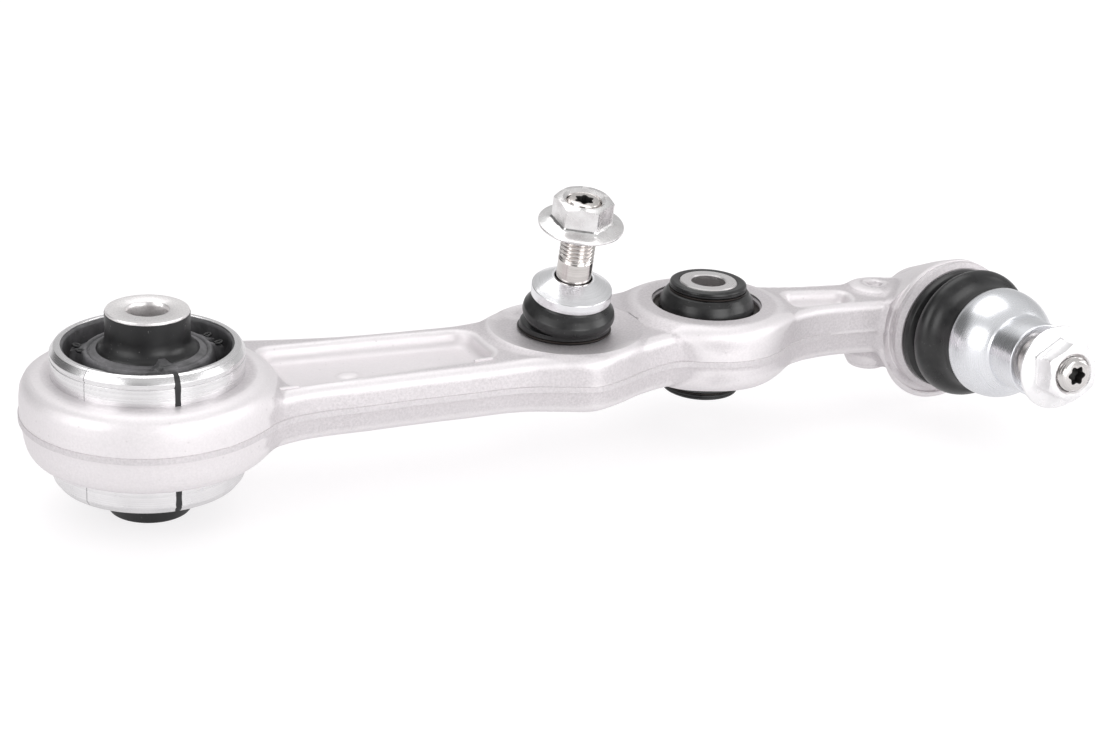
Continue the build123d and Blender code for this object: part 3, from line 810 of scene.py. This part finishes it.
def arm_outline():
    """The forging's longest outline on the parting plane, in order."""
    cut = bmesh.new()
    cut.from_mesh(arm_mesh)
    bmesh.ops.bisect_plane(
        cut, geom=cut.verts[:] + cut.edges[:] + cut.faces[:], plane_co=(0, 0, 0), plane_no=(0, 0, 1),
        clear_inner=True, clear_outer=True,
    )
    bmesh.ops.remove_doubles(cut, verts=cut.verts, dist=0.00005)
    loops, left = [], set(cut.verts)
    for first in cut.verts[:]:
        if first not in left:
            continue
        left.discard(first)
        loop = [first]
        while True:
            beside = [e.other_vert(loop[-1]) for e in loop[-1].link_edges]
            onward = [vert for vert in beside if vert in left]
            if not onward:
                break
            left.discard(onward[0])
            loop.append(onward[0])
        loops.append(np.array([v.co[:2] for v in loop]) / MM)
    cut.free()
    return max(loops, key=lambda loop: np.ptp(loop[:, 0]))


BELT_END_X, BELT_STEP = 266, 1.3
outline = arm_outline()
onward = np.roll(outline, -1, 0)
if np.sum(outline[:, 0] * onward[:, 1] - onward[:, 0] * outline[:, 1]) < 0:
    outline = outline[::-1]
outline = np.roll(outline, -int(np.argmax(outline[:, 0])), 0)
ends = np.nonzero(outline[:, 0] < BELT_END_X)[0]
outline = outline[ends[0]:ends[-1] + 1]
along = np.concatenate([[0], np.cumsum(np.hypot(*np.diff(outline, axis=0).T))])
steps = np.arange(0, along[-1], BELT_STEP)
outline = np.stack([np.interp(steps, along, outline[:, i]) for i in (0, 1)], 1)
for _ in range(6):
    outline[1:-1] = 0.25 * outline[:-2] + 0.5 * outline[1:-1] + 0.25 * outline[2:]
heading = np.gradient(outline, axis=0)
heading /= np.linalg.norm(heading, axis=1)[:, None]
inward = np.stack([-heading[:, 1], heading[:, 0]], 1)
sink = 0.1 + 1.1 * (1 - fade(np.minimum(steps, steps[-1] - steps), 2, 26))
outline = outline + inward * sink[:, None]
BELT_SIZE = {"Half height": 1.5 * MM, "Proud": 0.5 * MM, "Buried": 1.2 * MM}
belt_path = line_object("flash_path", [(x, y, 0.0) for x, y in outline])
belt = node_piece("flash_belt", belt_path, belt_around, BELT_SIZE, forged)

BAR_SIZE = {
    "Length": 6.8 * MM, "Width": 1.2 * MM, "Height": 1.3 * MM, "Squareness": 0.75, "Turn": radians(1.0),
}
bar_spots = settle(arm_field, np.array([(40.2, -18.3, 9.0), (109.2, -16.7, 9.0)]), 4)
bar_mesh = bpy.data.meshes.new("bar_spots")
bar_mesh.from_pydata((bar_spots * MM).tolist(), [], [])
bar_object = bpy.data.objects.new("bar_spots", bar_mesh)
scene.collection.objects.link(bar_object)
bars = node_piece("raised_bars", bar_object, raised_bars, BAR_SIZE, forged)
# the belt and the bars get a fixed share of the painted edge highlight
for made, edge_light in ((belt, 0.2), (bars, 0.8)):
    made.data.shade_smooth()
    made.data.set_sharp_from_angle(angle=radians(28))
    for label, value in (("edge", edge_light), ("pocket", 0.0)):
        layer = made.data.attributes.new(label, "FLOAT", "POINT")
        layer.data.foreach_set("value", np.full(len(made.data.vertices), value, np.float32))
    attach(made, "arm")


# -------------------------------------------------- hydraulic bush: can, sleeve, rubber
# A split aluminium can pressed into the eye. Its slot and its inside are filled with rubber, which is
# bonded to the aluminium sleeve in the middle and covers it up to a thin bright edge at the top.
rng = np.random.default_rng(7)


def wobble(sides, size, waves, seed):
    """A small closed ripple round a ring, one value per side."""
    draw = np.random.default_rng(seed)
    angle = 2 * pi * np.arange(sides) / sides
    total = sum(draw.normal() * np.cos(n * angle + draw.uniform(0, 2 * pi)) / n ** 0.5 for n in waves)
    return size * total / len(waves) ** 0.5


rubber_bloom, given, put = new_group(
    "rubber_bloom",
    [
        ("Vector", "NodeSocketVector", None),
        ("Scale", "NodeSocketFloat", 160.0),
        ("Specks", "NodeSocketFloat", 1500.0),
    ],
    ["Bloom", "Dust", "Height"],
)
haze = noise(rubber_bloom, given["Vector"], given["Scale"], detail=4.0, roughness=0.6)
speck = noise(rubber_bloom, given["Vector"], given["Specks"], detail=1.0)
skin = noise(rubber_bloom, given["Vector"], 2200.0)
dust_spots = spread(rubber_bloom, speck, 0.735, 0.76)
dust_patches = spread(rubber_bloom, haze, 0.45, 0.60)
rubber_bloom.links.new(spread(rubber_bloom, haze, 0.35, 0.70), put.inputs["Bloom"])
rubber_bloom.links.new(maths(rubber_bloom, "MULTIPLY", dust_spots, dust_patches), put.inputs["Dust"])
rubber_bloom.links.new(skin, put.inputs["Height"])


def rubber(name, dark, pale, rough, dust=0.6, scale=160.0):
    """Moulded black rubber: a thin grey bloom in patches, talc specks and a faint satin grain."""
    material, tree, shader = new_material(name, Specular_IOR_Level=0.5)
    values = {"Vector": object_place(tree), "Scale": scale}
    bloom = add_node(tree, "ShaderNodeGroup", values, node_tree=rubber_bloom).outputs
    tone = blended(tree, bloom["Bloom"], dark, pale)
    tone = blended(tree, maths(tree, "MULTIPLY", bloom["Dust"], dust), tone, (0.42, 0.41, 0.41))
    tree.links.new(tone, shader.inputs["Base Color"])
    tree.links.new(spread(tree, bloom["Bloom"], 0.0, 1.0, rough[0], rough[1]), shader.inputs["Roughness"])
    bumped(tree, shader, bloom["Height"], 0.35, 0.03)
    return material


can_metal = turned_metal(
    "turned_can", (0, 0, 0), (0, 0, 1), (0.74, 0.73, 0.74), (0.90, 0.89, 0.90), (0.18, 0.32), pitch=2600.0,
)
CAN_OUTLINE = eased([
    (26.9, -22.9, 0.2), (28.8, -22.9, 0.5), (CAN_R, -20.7, 0.6), (CAN_R, 18.85, 0.1), (30.1, 19.0),
    (30.1, 19.3), (CAN_R, 19.45, 0.1), (CAN_R, 20.6, 0.3), (29.1, 22.5, 0.6), (28.2, 22.9, 0.3),
    (26.9, 22.9, 0.3),
])
SLOT_ANGLE, SEAM_ANGLE = radians(-90), radians(-146)
SLOT_HALF, SEAM_HALF = 0.9 / CAN_R, 0.09 / CAN_R
edges = SLOT_HALF + SEAM_HALF
short_part = ring_stack(CAN_OUTLINE, 28, SEAM_ANGLE + SEAM_HALF, SLOT_ANGLE - SEAM_ANGLE - edges)
long_part = ring_stack(CAN_OUTLINE, 170, SLOT_ANGLE + SLOT_HALF, SEAM_ANGLE - SLOT_ANGLE + 2 * pi - edges)
can = piece("outer_can", *joined([short_part, long_part]), can_metal)
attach(can, "arm")
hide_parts("main_outer_can")

bush_rubber = rubber("bush_rubber", (0.003, 0.003, 0.0035), (0.011, 0.011, 0.012), (0.32, 0.46))
spring_rubber = rubber(
    "spring_rubber", (0.052, 0.052, 0.054), (0.185, 0.180, 0.190), (0.36, 0.50), scale=110.0,
)
key_rubber = rubber("key_rubber", (0.010, 0.010, 0.011), (0.020, 0.020, 0.022), (0.50, 0.62), dust=0.3)
KEY_ROWS, KEY_INNER_R = 46, 26.2
heights = np.linspace(-22.3, 22.7, KEY_ROWS)
front_r = np.interp(heights, [-22.9, -20.7, 20.5, 22.9], [28.95, 30.46, 30.46, 28.6])
front_r += 0.05 * rng.normal(size=KEY_ROWS)
half_w = 0.93 + 0.10 * np.convolve(rng.normal(size=KEY_ROWS + 2), [0.3, 0.5, 0.3], "valid")
points, faces = [], []
for z, r, w in zip(heights, front_r, half_w):
    points += [(-w, -r, z), (w, -r, z), (0.9, -KEY_INNER_R, z), (-0.9, -KEY_INNER_R, z)]
for row in range(0, 4 * KEY_ROWS - 4, 4):
    for k, after in ((0, 1), (1, 2), (2, 3), (3, 0)):
        faces.append([row + k, row + after, row + 4 + after, row + 4 + k])
faces += [[0, 1, 2, 3], [4 * KEY_ROWS - k for k in (1, 2, 3, 4)]]
key = piece("slot_key", points, faces, key_rubber, sharp=50)
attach(key, "arm")

sleeve_metal, tree, shader = new_material("bare_sleeve", Metallic=0.95)
grain = grained(tree, 1800.0, 260.0)
tone = blended(tree, grain["Speckle"], (0.72, 0.70, 0.70), (0.93, 0.91, 0.91))
tone = blended(tree, maths(tree, "MULTIPLY", grain["Cloud"], 0.4), tone, (0.84, 0.82, 0.82))
tree.links.new(tone, shader.inputs["Base Color"])
tree.links.new(spread(tree, grain["Speckle"], 0.0, 1.0, 0.50, 0.36), shader.inputs["Roughness"])
bumped(tree, shader, grain["Height"], 0.7, 0.12)
SLEEVE_SIDES = 128
ragged = wobble(SLEEVE_SIDES, 0.22, range(2, 16), 3)
sleeve_rows = [
    (6.5, -33.6), (7.0, -34.0), (12.2, -34.0), (12.5, -33.6), (12.5, 32.4), (13.0, 32.7), (13.17, 33.0),
    (13.17, 33.7), (12.95, 34.0), (7.1 + ragged, 34.0), (6.75 + ragged * 0.8, 33.7),
    (6.5 + ragged * 0.3, 32.4), (6.5, 30.0),
]
sleeve = piece("bush_sleeve", *ring_stack(sleeve_rows, SLEEVE_SIDES), sleeve_metal, sharp=50)
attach(sleeve, "main_core")
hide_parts("main_inner_sleeve")

COAT_SIDES = 160
torn = wobble(COAT_SIDES, 0.16, range(3, 40), 11)
coat_rows = [
    (12.45, -33.95), (13.0, -33.9), (13.3, -33.5), (13.35, -24.5), (13.9, -23.0), (15.0, -21.9),
    (16.1, -21.3), (16.1, 21.3), (15.0, 21.95), (13.9, 23.1), (13.4, 24.6), (13.3, 26.5), (13.32, 32.0),
    (13.32, 33.1 + torn), (13.05, 33.2 + torn), (12.45, 32.9),
]
coat = piece("sleeve_coat", *ring_stack(coat_rows, COAT_SIDES), bush_rubber, sharp=60)
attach(coat, "main_core")
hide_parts("main_sleeve_coating")

SPRING_ROWS = [
    (13.3, 23.9), (13.8, 22.6), (14.5, 21.9), (15.4, 21.45), (16.4, 21.1), (17.2, 20.8), (17.5, 20.62),
    (17.8, 20.62), (18.2, 20.45), (18.45, 20.3), (18.7, 20.55), (19.1, 20.85), (19.6, 20.85),
    (20.1, 20.5), (20.45, 19.7), (20.7, 18.4), (21.0, 16.4), (21.4, 14.6), (22.0, 13.3), (22.8, 12.7),
    (23.9, 12.6), (24.9, 13.2), (25.6, 14.6), (25.95, 16.4), (26.1, 18.6), (26.1, 21.4), (26.35, 22.1),
    (26.9, 22.3),
]
# ribs that bridge the trough round the disc, as (direction in degrees, half width in degrees)
SPRING_RIBS = [(151, 9), (17, 9), (-2, 4), (84, 9)]
SPRING_SIDES = 240
angle = np.degrees(2 * pi * np.arange(SPRING_SIDES) / SPRING_SIDES)


def near_angle(centre, half):
    """1 at a direction in degrees, fading to 0 at half a width from it."""
    away = np.abs((angle - centre + 180) % 360 - 180)
    return 1 - fade(away, half * 0.55, half)


upper = []
for r, z in SPRING_ROWS:
    lifted = np.full(SPRING_SIDES, float(z))
    out = np.full(SPRING_SIDES, float(r))
    for centre, half in SPRING_RIBS:
        reach = near_angle(centre, half)
        if 20.2 < r < 24.0:
            lifted = lifted + reach * max(0.0, 19.9 - (r - 20.2) * 0.25 - z)
            out = out + reach * (1.3 if r < 21.9 else 0.4)
    if 14.0 < r < 19.0:
        lifted = lifted + 0.75 * near_angle(-90, 16 * (r - 11.5) / 7.0)
    if 18.0 < r < 20.4:
        lifted = lifted - 0.7 * near_angle(-95, 2.2) - 0.8 * near_angle(163, 3.0)
    upper.append((out, lifted))
lower = [(out, -lifted) for out, lifted in reversed(upper)]
spring = piece("bush_spring", *ring_stack(lower + upper, SPRING_SIDES), spring_rubber, sharp=70)
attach(spring, "arm")
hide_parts("main_rubber_spring")


def round_bead(group, given):
    """A round bead swept along the curve."""
    round_shape = {"Resolution": 10, "Radius": given["Thickness"]}
    section = add_node(group, "GeometryNodeCurvePrimitiveCircle", round_shape)
    sweep = {0: given["Geometry"], 1: section.outputs[0], "Fill Caps": True}
    return add_node(group, "GeometryNodeCurveToMesh", sweep).outputs[0]


# moulding nubs as (direction in degrees, radius)
NUBS = [(151, 22.4), (17, 22.6), (163, 20.6), (-2, 22.8)]
NUB_BEAD = {"Thickness": 0.5 * MM}
for number, (azimuth, radius) in enumerate(NUBS):
    across = np.array((cos(radians(azimuth)), sin(radians(azimuth)), 0))
    beside = np.array((-across[1], across[0], 0))
    hoop = [
        across * (radius + 1.25 * cos(a)) + beside * 0.9 * sin(a) + np.array((0, 0, 19.6 + 0.7 * cos(a / 2)))
        for a in np.linspace(-0.8 * pi, 0.8 * pi, 18)
    ]
    nub_path = line_object("nub_path", hoop)
    nub = node_piece(f"moulding_nub_{number}", nub_path, round_bead, NUB_BEAD, bush_rubber)
    nub.data.shade_smooth()
    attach(nub, "arm")


# -------------------------------------------------- middle ball sleeve and its boots
# A hardened ball sleeve turns and tilts in a plastic shell. Each end is sealed by a rubber boot whose
# lip grips the sleeve, held in its groove by a ring of wire.
sleeve_steel = turned_metal(
    "sleeve_steel", (MID_X, 0, 0), (0, 0, 1), (0.72, 0.70, 0.70), (0.90, 0.88, 0.88), (0.24, 0.38),
    pitch=3600.0,
)
SLEEVE_BALL_R, SLEEVE_BALL_END = 14, 42.6
ball_turns = np.radians(np.linspace(-SLEEVE_BALL_END, SLEEVE_BALL_END, 21))
arc = [(SLEEVE_BALL_R * cos(a), SLEEVE_BALL_R * sin(a)) for a in ball_turns]
sleeve_end = [(10.3, 20.1), (9.9, 20.54), (6.5, 20.54), (6.1, 20.1)]
sleeve_rows = [(r, -z) for r, z in reversed(sleeve_end)] + arc + sleeve_end
points, faces = ring_stack(sleeve_rows, 96)
ball_sleeve = piece("ball_sleeve", MID_AT(points), faces, sleeve_steel)
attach(ball_sleeve, "mid_sleeve")
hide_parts("mid_ball_sleeve")

boot_rubber = rubber("boot_rubber", (0.007, 0.007, 0.0075), (0.022, 0.022, 0.0225), (0.27, 0.40), dust=0.25)
MID_BOOT = eased([
    (13.6, 10.4), (17.0, 10.4, 0.2), (17.1, 11.3, 0.3), (16.7, 13.2, 1.2), (15.8, 15.4, 1.2),
    (14.6, 17.0, 0.8), (13.3, 17.55, 0.25), (13.15, 18.0, 0.2), (13.65, 18.35, 0.25), (13.72, 18.85, 0.15),
    (13.5, 19.05), (13.7, 19.25, 0.15), (13.5, 19.95, 0.4), (12.6, 20.4, 0.4), (10.4, 20.3, 0.15),
    (10.4, 17.6), (12.4, 16.2), (14.0, 13.6),
])
for label, side in (("upper", 1), ("lower", -1)):
    points, faces = ring_stack(MID_BOOT, 112)
    points[:, 2] *= side
    boot = piece(f"mid_{label}_seal", MID_AT(points), faces, boot_rubber, sharp=60)
    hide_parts(f"mid_{label}_boot")
    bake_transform(boot)


# -------------------------------------------------- link ball joint: boot, washer, stud and nut
# The stud leans towards the front. A folded boot seals it from the turned seat up to a bright cone
# washer, and a plated flange nut sits on its M12 thread, with a six-lobe socket in the stud's end.
LINK_ORIGIN = (LINK_X, LINK_Y, 0)
LINK_WAY = np.array((-0.022, -sin(radians(10.7)), cos(radians(10.7))))
LINK_WAY /= np.linalg.norm(LINK_WAY)
LINK_STUD_AT = axis_place(LINK_ORIGIN, LINK_WAY)


def leaning(points, origin, base, way, low, high):
    """Turns a boot's points about the ball's centre, from the base's axis at low to the stud's at high."""
    share = fade(points[:, 2], low, high)
    base, way = np.array(base, float), np.array(way, float)
    placed_points = axis_place((0, 0, 0), base)(points)
    axis = np.cross(base, way)
    lean = np.arcsin(np.linalg.norm(axis))
    axis /= np.linalg.norm(axis)
    c, s = np.cos(lean * share)[:, None], np.sin(lean * share)[:, None]
    turned = placed_points * c + np.cross(axis, placed_points) * s
    return turned + axis * (placed_points @ axis)[:, None] * (1 - c) + np.array(origin)


LINK_BOOT = eased([
    (12.2, 9.45), (15.4, 9.45, 0.15), (15.8, 11.0, 0.5), (15.4, 12.7, 0.7), (13.5, 13.6, 0.3),
    (12.6, 14.2, 0.3), (13.3, 14.8, 0.3), (15.0, 15.4, 0.8), (16.0, 17.3, 1.6), (15.6, 19.4, 1.6),
    (14.0, 21.3, 1.6), (12.6, 22.6, 0.6), (12.2, 23.7, 0.3), (9.6, 23.7), (9.6, 22.4), (11.0, 21.4),
    (13.6, 19.0), (13.8, 17.3), (12.4, 15.8), (11.2, 14.2), (12.0, 12.0),
])
points, faces = ring_stack(LINK_BOOT, 120)
points = leaning(points, LINK_ORIGIN, (0, 0, 1), LINK_WAY, 11.6, 15.6)
link_boot = piece("link_seal", points, faces, boot_rubber, sharp=60)
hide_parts("link_boot")
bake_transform(link_boot)

washer_metal = turned_metal(
    "turned_washer", LINK_ORIGIN, LINK_WAY, (0.84, 0.84, 0.86), (0.95, 0.95, 0.97), (0.18, 0.30),
    pitch=2400.0,
)
WASHER = eased([
    (6.5, 24.0, 0.2), (13.8, 24.0, 0.4), (13.8, 27.6, 0.35), (7.3, 31.6, 0.25), (6.5, 31.6, 0.2),
])
points, faces = ring_stack(WASHER, 112)
washer = piece("cone_washer", LINK_STUD_AT(points), faces, washer_metal, sharp=30)
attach(washer, "link_tilt")
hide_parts("link_cone_washer")

THREAD_PITCH, CREST_R, ROOT_R = 1.5, 5.95, 5.15
LOBE_R, LOBE_SWING, SOCKET_DEPTH = 2.75, 0.42, 4.3


def threaded_end(start, end, sides=72):
    """Rows of an M12 thread, then the chamfered end with its six-lobe socket."""
    turn_share = np.arange(sides) / sides
    rows = []
    for s in np.arange(start, end - 1.0, THREAD_PITCH / 8):
        phase = (s / THREAD_PITCH - turn_share) % 1
        tooth = np.clip(1.35 - 2.7 * np.abs(phase - 0.5), 0, 1)
        fade_in = min(1.0, (s - start) / 1.2)
        rows.append((CREST_R - (CREST_R - ROOT_R) * (1 - tooth) * fade_in, s))
    lobe = LOBE_R + LOBE_SWING * np.cos(6 * 2 * pi * turn_share)
    return rows + [
        (ROOT_R + 0.25, end - 0.75), (ROOT_R - 0.1, end - 0.1), (ROOT_R - 0.35, end), (lobe + 0.22, end),
        (lobe, end - 0.25), (lobe * 0.97, end - 3.6), (1.2, end - 4.2), (0, end - SOCKET_DEPTH),
    ]


# near black inside the studs' sockets: painted shade
socket_shade, tree, shader = new_material("socket_shadow", Roughness=0.6)
tone = blended(tree, grained(tree)["Cloud"], (0.010, 0.010, 0.010), (0.022, 0.020, 0.020))
tree.links.new(tone, shader.inputs["Base Color"])


def darken(made, origin, way, end):
    """Gives painted shade, a near-black colour, to the faces inside the socket of a stud that ends at end.
    """
    from_s, within, to_s = end - SOCKET_DEPTH - 0.3, 3.25, end + 0.3
    made.data.materials.append(socket_shade)
    way = np.array(way) / np.linalg.norm(way)
    for face in made.data.polygons:
        away = np.array(face.center) / MM - np.array(origin)
        along = away @ way
        if from_s < along < to_s and np.linalg.norm(away - along * way) < within:
            face.material_index = 1


def ball_rows(radius, neck_r):
    """Rows of a ball from its pole to where the neck leaves it."""
    last = np.degrees(np.arccos(neck_r / radius))
    turns = np.radians(np.linspace(-85, last, 24))
    return [(0, -radius)] + [(radius * cos(a), radius * sin(a)) for a in turns]


stud_metal = turned_metal(
    "stud_steel", LINK_ORIGIN, LINK_WAY, (0.60, 0.565, 0.545), (0.78, 0.75, 0.73), (0.13, 0.26),
    pitch=3000.0,
)
LINK_BALL_R, LINK_NECK_R, LINK_STUD_END = 8.5, 5.0, 61.0
shank = [(LINK_NECK_R, 15), (8.2, 17.6), (8.6, 18.5), (8.6, 23.8), (6.0, 23.9), (6.0, 38.6), (5.7, 39.0)]
stud_rows = ball_rows(LINK_BALL_R, LINK_NECK_R) + shank + threaded_end(39.2, LINK_STUD_END)
points, faces = ring_stack(stud_rows, 72, loop=False)
link_stud = piece("link_stud", LINK_STUD_AT(points), faces, stud_metal, sharp=32)
darken(link_stud, LINK_ORIGIN, LINK_WAY, LINK_STUD_END)
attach(link_stud, "link_stud")
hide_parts("link_ball_stud")


HEX_HALF, HEX_CORNER_R, NUT_HEIGHT, NUT_SIDES = 9.0, 10.25, 10.4, 120


def flange_nut(seat):
    """Rows of a hexagon nut with a dished flange and chamfered corners, standing on seat."""
    angle = 2 * pi * np.arange(NUT_SIDES) / NUT_SIDES
    off = (angle + pi / 6) % (pi / 3) - pi / 6
    hexagon = np.minimum(HEX_HALF / np.cos(off), HEX_CORNER_R)
    top = seat + NUT_HEIGHT
    shoulder = top - np.clip((hexagon - 8.9) * 0.55, 0, None) - 0.15
    return [
        (6.6, seat + 0.9), (7.2, seat), (13.6, seat), (14.3, seat + 0.25), (14.55, seat + 0.75),
        (14.4, seat + 1.25), (13.9, seat + 1.45), (12.2, seat + 1.75), (hexagon + 0.75, seat + 2.25),
        (hexagon + 0.25, seat + 2.7), (hexagon, seat + 3.4), (hexagon, shoulder),
        (np.minimum(hexagon, 8.75) - 0.1, top), (7.2, top), (6.1, top - 0.9), (6.05, seat + 4),
    ]


def plated(name, origin, way, dark, light, rough):
    """Zinc flake over steel: bright, slightly orange-peeled, with darker grains showing in the hollows."""
    material, tree, shader = new_material(name, Metallic=1.0)
    grain = grained(tree, 1500.0, 240.0, placed(tree, origin, way))
    tone = blended(tree, grain["Cloud"], light, dark)
    tone = blended(tree, maths(tree, "MULTIPLY", grain["Speckle"], 0.3), tone, light)
    tree.links.new(tone, shader.inputs["Base Color"])
    tree.links.new(spread(tree, grain["Cloud"], 0.0, 1.0, rough[0], rough[1]), shader.inputs["Roughness"])
    bumped(tree, shader, grain["Height"], 0.35, 0.05)
    return material


link_plate = plated(
    "plated_link_nut", LINK_ORIGIN, LINK_WAY, (0.76, 0.74, 0.74), (0.92, 0.91, 0.91), (0.18, 0.32),
)
points, faces = ring_stack(flange_nut(51.0), NUT_SIDES)
link_nut = piece("link_nut", LINK_STUD_AT(points), faces, link_plate, sharp=30)
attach(link_nut, "link_nut")
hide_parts("link_flange_nut")


# -------------------------------------------------- outer ball joint: bellows, dome, stud and nut
# The cup's turned mouth holds a two-fold rubber bellows. A polished aluminium dome rides on the stud's
# shoulder and shields the bellows, and the same flange nut is run onto the end of the thread.
OUTER_ORIGIN = (OUTER_X, OUTER_Y, 0)
OUTER_WAY = np.array((-0.083, -0.989, 0.122))
OUTER_WAY /= np.linalg.norm(OUTER_WAY)
OUTER_STUD_AT = axis_place(OUTER_ORIGIN, OUTER_WAY)
foot = eased([
    (17.6, 13.8), (21.0, 13.8), (21.2, 15.75), (22.6, 15.8, 0.2), (22.75, 17.4, 0.8), (22.5, 19.0, 0.7),
    (20.9, 20.0, 0.5), (19.4, 20.8, 0.5),
])
fold = [(17.9 + 5.6 * cos(a), 28.0 + 6.7 * sin(a)) for a in np.radians(np.linspace(-68, 66, 15))]
lip = [(18.9, 36.0), (18.2, 38.4), (18.1, 41.0), (18.5, 43.2), (17.9, 44.7), (15.4, 44.5)]
inside = [
    (15.4, 40.0), (16.4, 36.5), (18.6, 32.6), (20.4, 28.5), (20.2, 25.0), (18.6, 23.0), (17.9, 20.5),
    (17.8, 17.0),
]
points, faces = ring_stack(foot + fold + lip + inside, 144)
points = leaning(points, OUTER_ORIGIN, (0, -1, 0), OUTER_WAY, 18.0, 34.0)
outer_boot = piece("outer_seal", points, faces, boot_rubber, sharp=60)
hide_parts("outer_boot")
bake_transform(outer_boot)

polished = turned_metal(
    "polished_collar", OUTER_ORIGIN, OUTER_WAY, (0.80, 0.81, 0.84), (0.90, 0.91, 0.94), (0.23, 0.32),
    pitch=2600.0, depth=0.01,
)
dome_brim = [(8.1, 45.0), (18.9, 45.0), (19.4, 45.15), (19.6, 45.6)]
dome_rows = [(19.6 * cos(a), 46.6 + 18.6 * sin(a)) for a in np.radians(np.linspace(0, 48.4, 22))]
dome_rows.append((12.9, 60.9))
dome_neck = eased([
    (12.9, 60.9), (12.9, 73.8, 0.5), (11.4, 73.8, 0.3), (8.2, 71.4, 0.2), (8.1, 70.0),
], loop=False)
points, faces = ring_stack(dome_brim + dome_rows + dome_neck, 144)
dome = piece("dome_collar", OUTER_STUD_AT(points), faces, polished, sharp=34)
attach(dome, "outer_tilt")
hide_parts("outer_dome_collar")

outer_steel = turned_metal(
    "outer_stud_steel", OUTER_ORIGIN, OUTER_WAY, (0.58, 0.55, 0.54), (0.78, 0.76, 0.75), (0.14, 0.28),
    pitch=3000.0,
)
OUTER_BALL_R, OUTER_NECK_R, OUTER_STUD_END = 12.0, 7.0, 94.0
shank = [
    (OUTER_NECK_R, 22), (9.0, 39), (9.0, 44.4), (8.0, 44.5), (8.0, 70.4), (6.0, 71.4), (5.6, 71.9),
]
stud_rows = ball_rows(OUTER_BALL_R, OUTER_NECK_R) + shank + threaded_end(72.1, OUTER_STUD_END)
points, faces = ring_stack(stud_rows, 72, loop=False)
outer_stud = piece("outer_stud", OUTER_STUD_AT(points), faces, outer_steel, sharp=32)
darken(outer_stud, OUTER_ORIGIN, OUTER_WAY, OUTER_STUD_END)
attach(outer_stud, "outer_stud")
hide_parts("outer_ball_stud")

outer_plate = plated(
    "plated_outer_nut", OUTER_ORIGIN, OUTER_WAY, (0.88, 0.87, 0.88), (0.97, 0.96, 0.97), (0.24, 0.36),
)
points, faces = ring_stack(flange_nut(81.6), NUT_SIDES)
outer_nut = piece("outer_nut", OUTER_STUD_AT(points), faces, outer_plate, sharp=30)
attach(outer_nut, "outer_nut")
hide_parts("outer_flange_nut")


# -------------------------------------------------- fixed inner parts
# Shells, closing rings, wire rings and the fluid channel keep their CAD shape and get their own finish. The
# near-black one is partly the wire's own dark colour and partly painted shade: it darkens the wire grooves,
# and on the cartridge and closing rings it is painted shade for the dark gap round the middle boots.
moulded, tree, shader = new_material("moulded_plastic", Roughness=0.45)
grain = grained(tree)
tone = blended(tree, grain["Cloud"], (0.10, 0.095, 0.09), (0.15, 0.14, 0.13))
tree.links.new(tone, shader.inputs["Base Color"])
bumped(tree, shader, grain["Height"], 0.3, 0.03)
# near black: the wire's own dark colour, deepened as painted shade for its grooves and for the gap round the
# middle boots
wire_and_gap_shade, tree, shader = new_material("spring_wire", Metallic=0.6)
grain = grained(tree)
tone = blended(tree, grain["Cloud"], (0.012, 0.010, 0.010), (0.030, 0.022, 0.019))
tree.links.new(tone, shader.inputs["Base Color"])
tree.links.new(spread(tree, grain["Cloud"], 0.0, 1.0, 0.32, 0.5), shader.inputs["Roughness"])
ring_metal = turned_metal(
    "turned_ring", (MID_X, 0, 0), (0, 0, 1), (0.62, 0.61, 0.62), (0.82, 0.81, 0.82), (0.22, 0.36),
)
FINISH = {
    moulded: [
        "main_channel_ring", "main_travel_stop", "mid_bearing_shell", "link_bearing_shell",
        "outer_bearing_shell",
    ],
    # painted shade: these rings stand for the dark gap round the middle boots
    wire_and_gap_shade: [
        "mid_upper_clamp_ring", "mid_lower_clamp_ring", "link_boot_base_ring", "link_boot_top_ring",
        "outer_boot_base_ring", "outer_boot_top_ring", "mid_upper_closing_ring",
        "mid_lower_closing_ring", "mid_cartridge_ring",
    ],
    ring_metal: ["link_closing_plate", "outer_closing_ring"],
}
for material, names in FINISH.items():
    for name in names:
        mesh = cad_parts[name].data
        mesh.materials.clear()
        mesh.materials.append(material)

size = {"cad": [list(v) for v in cad_box], "model": [list(v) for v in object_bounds()]}
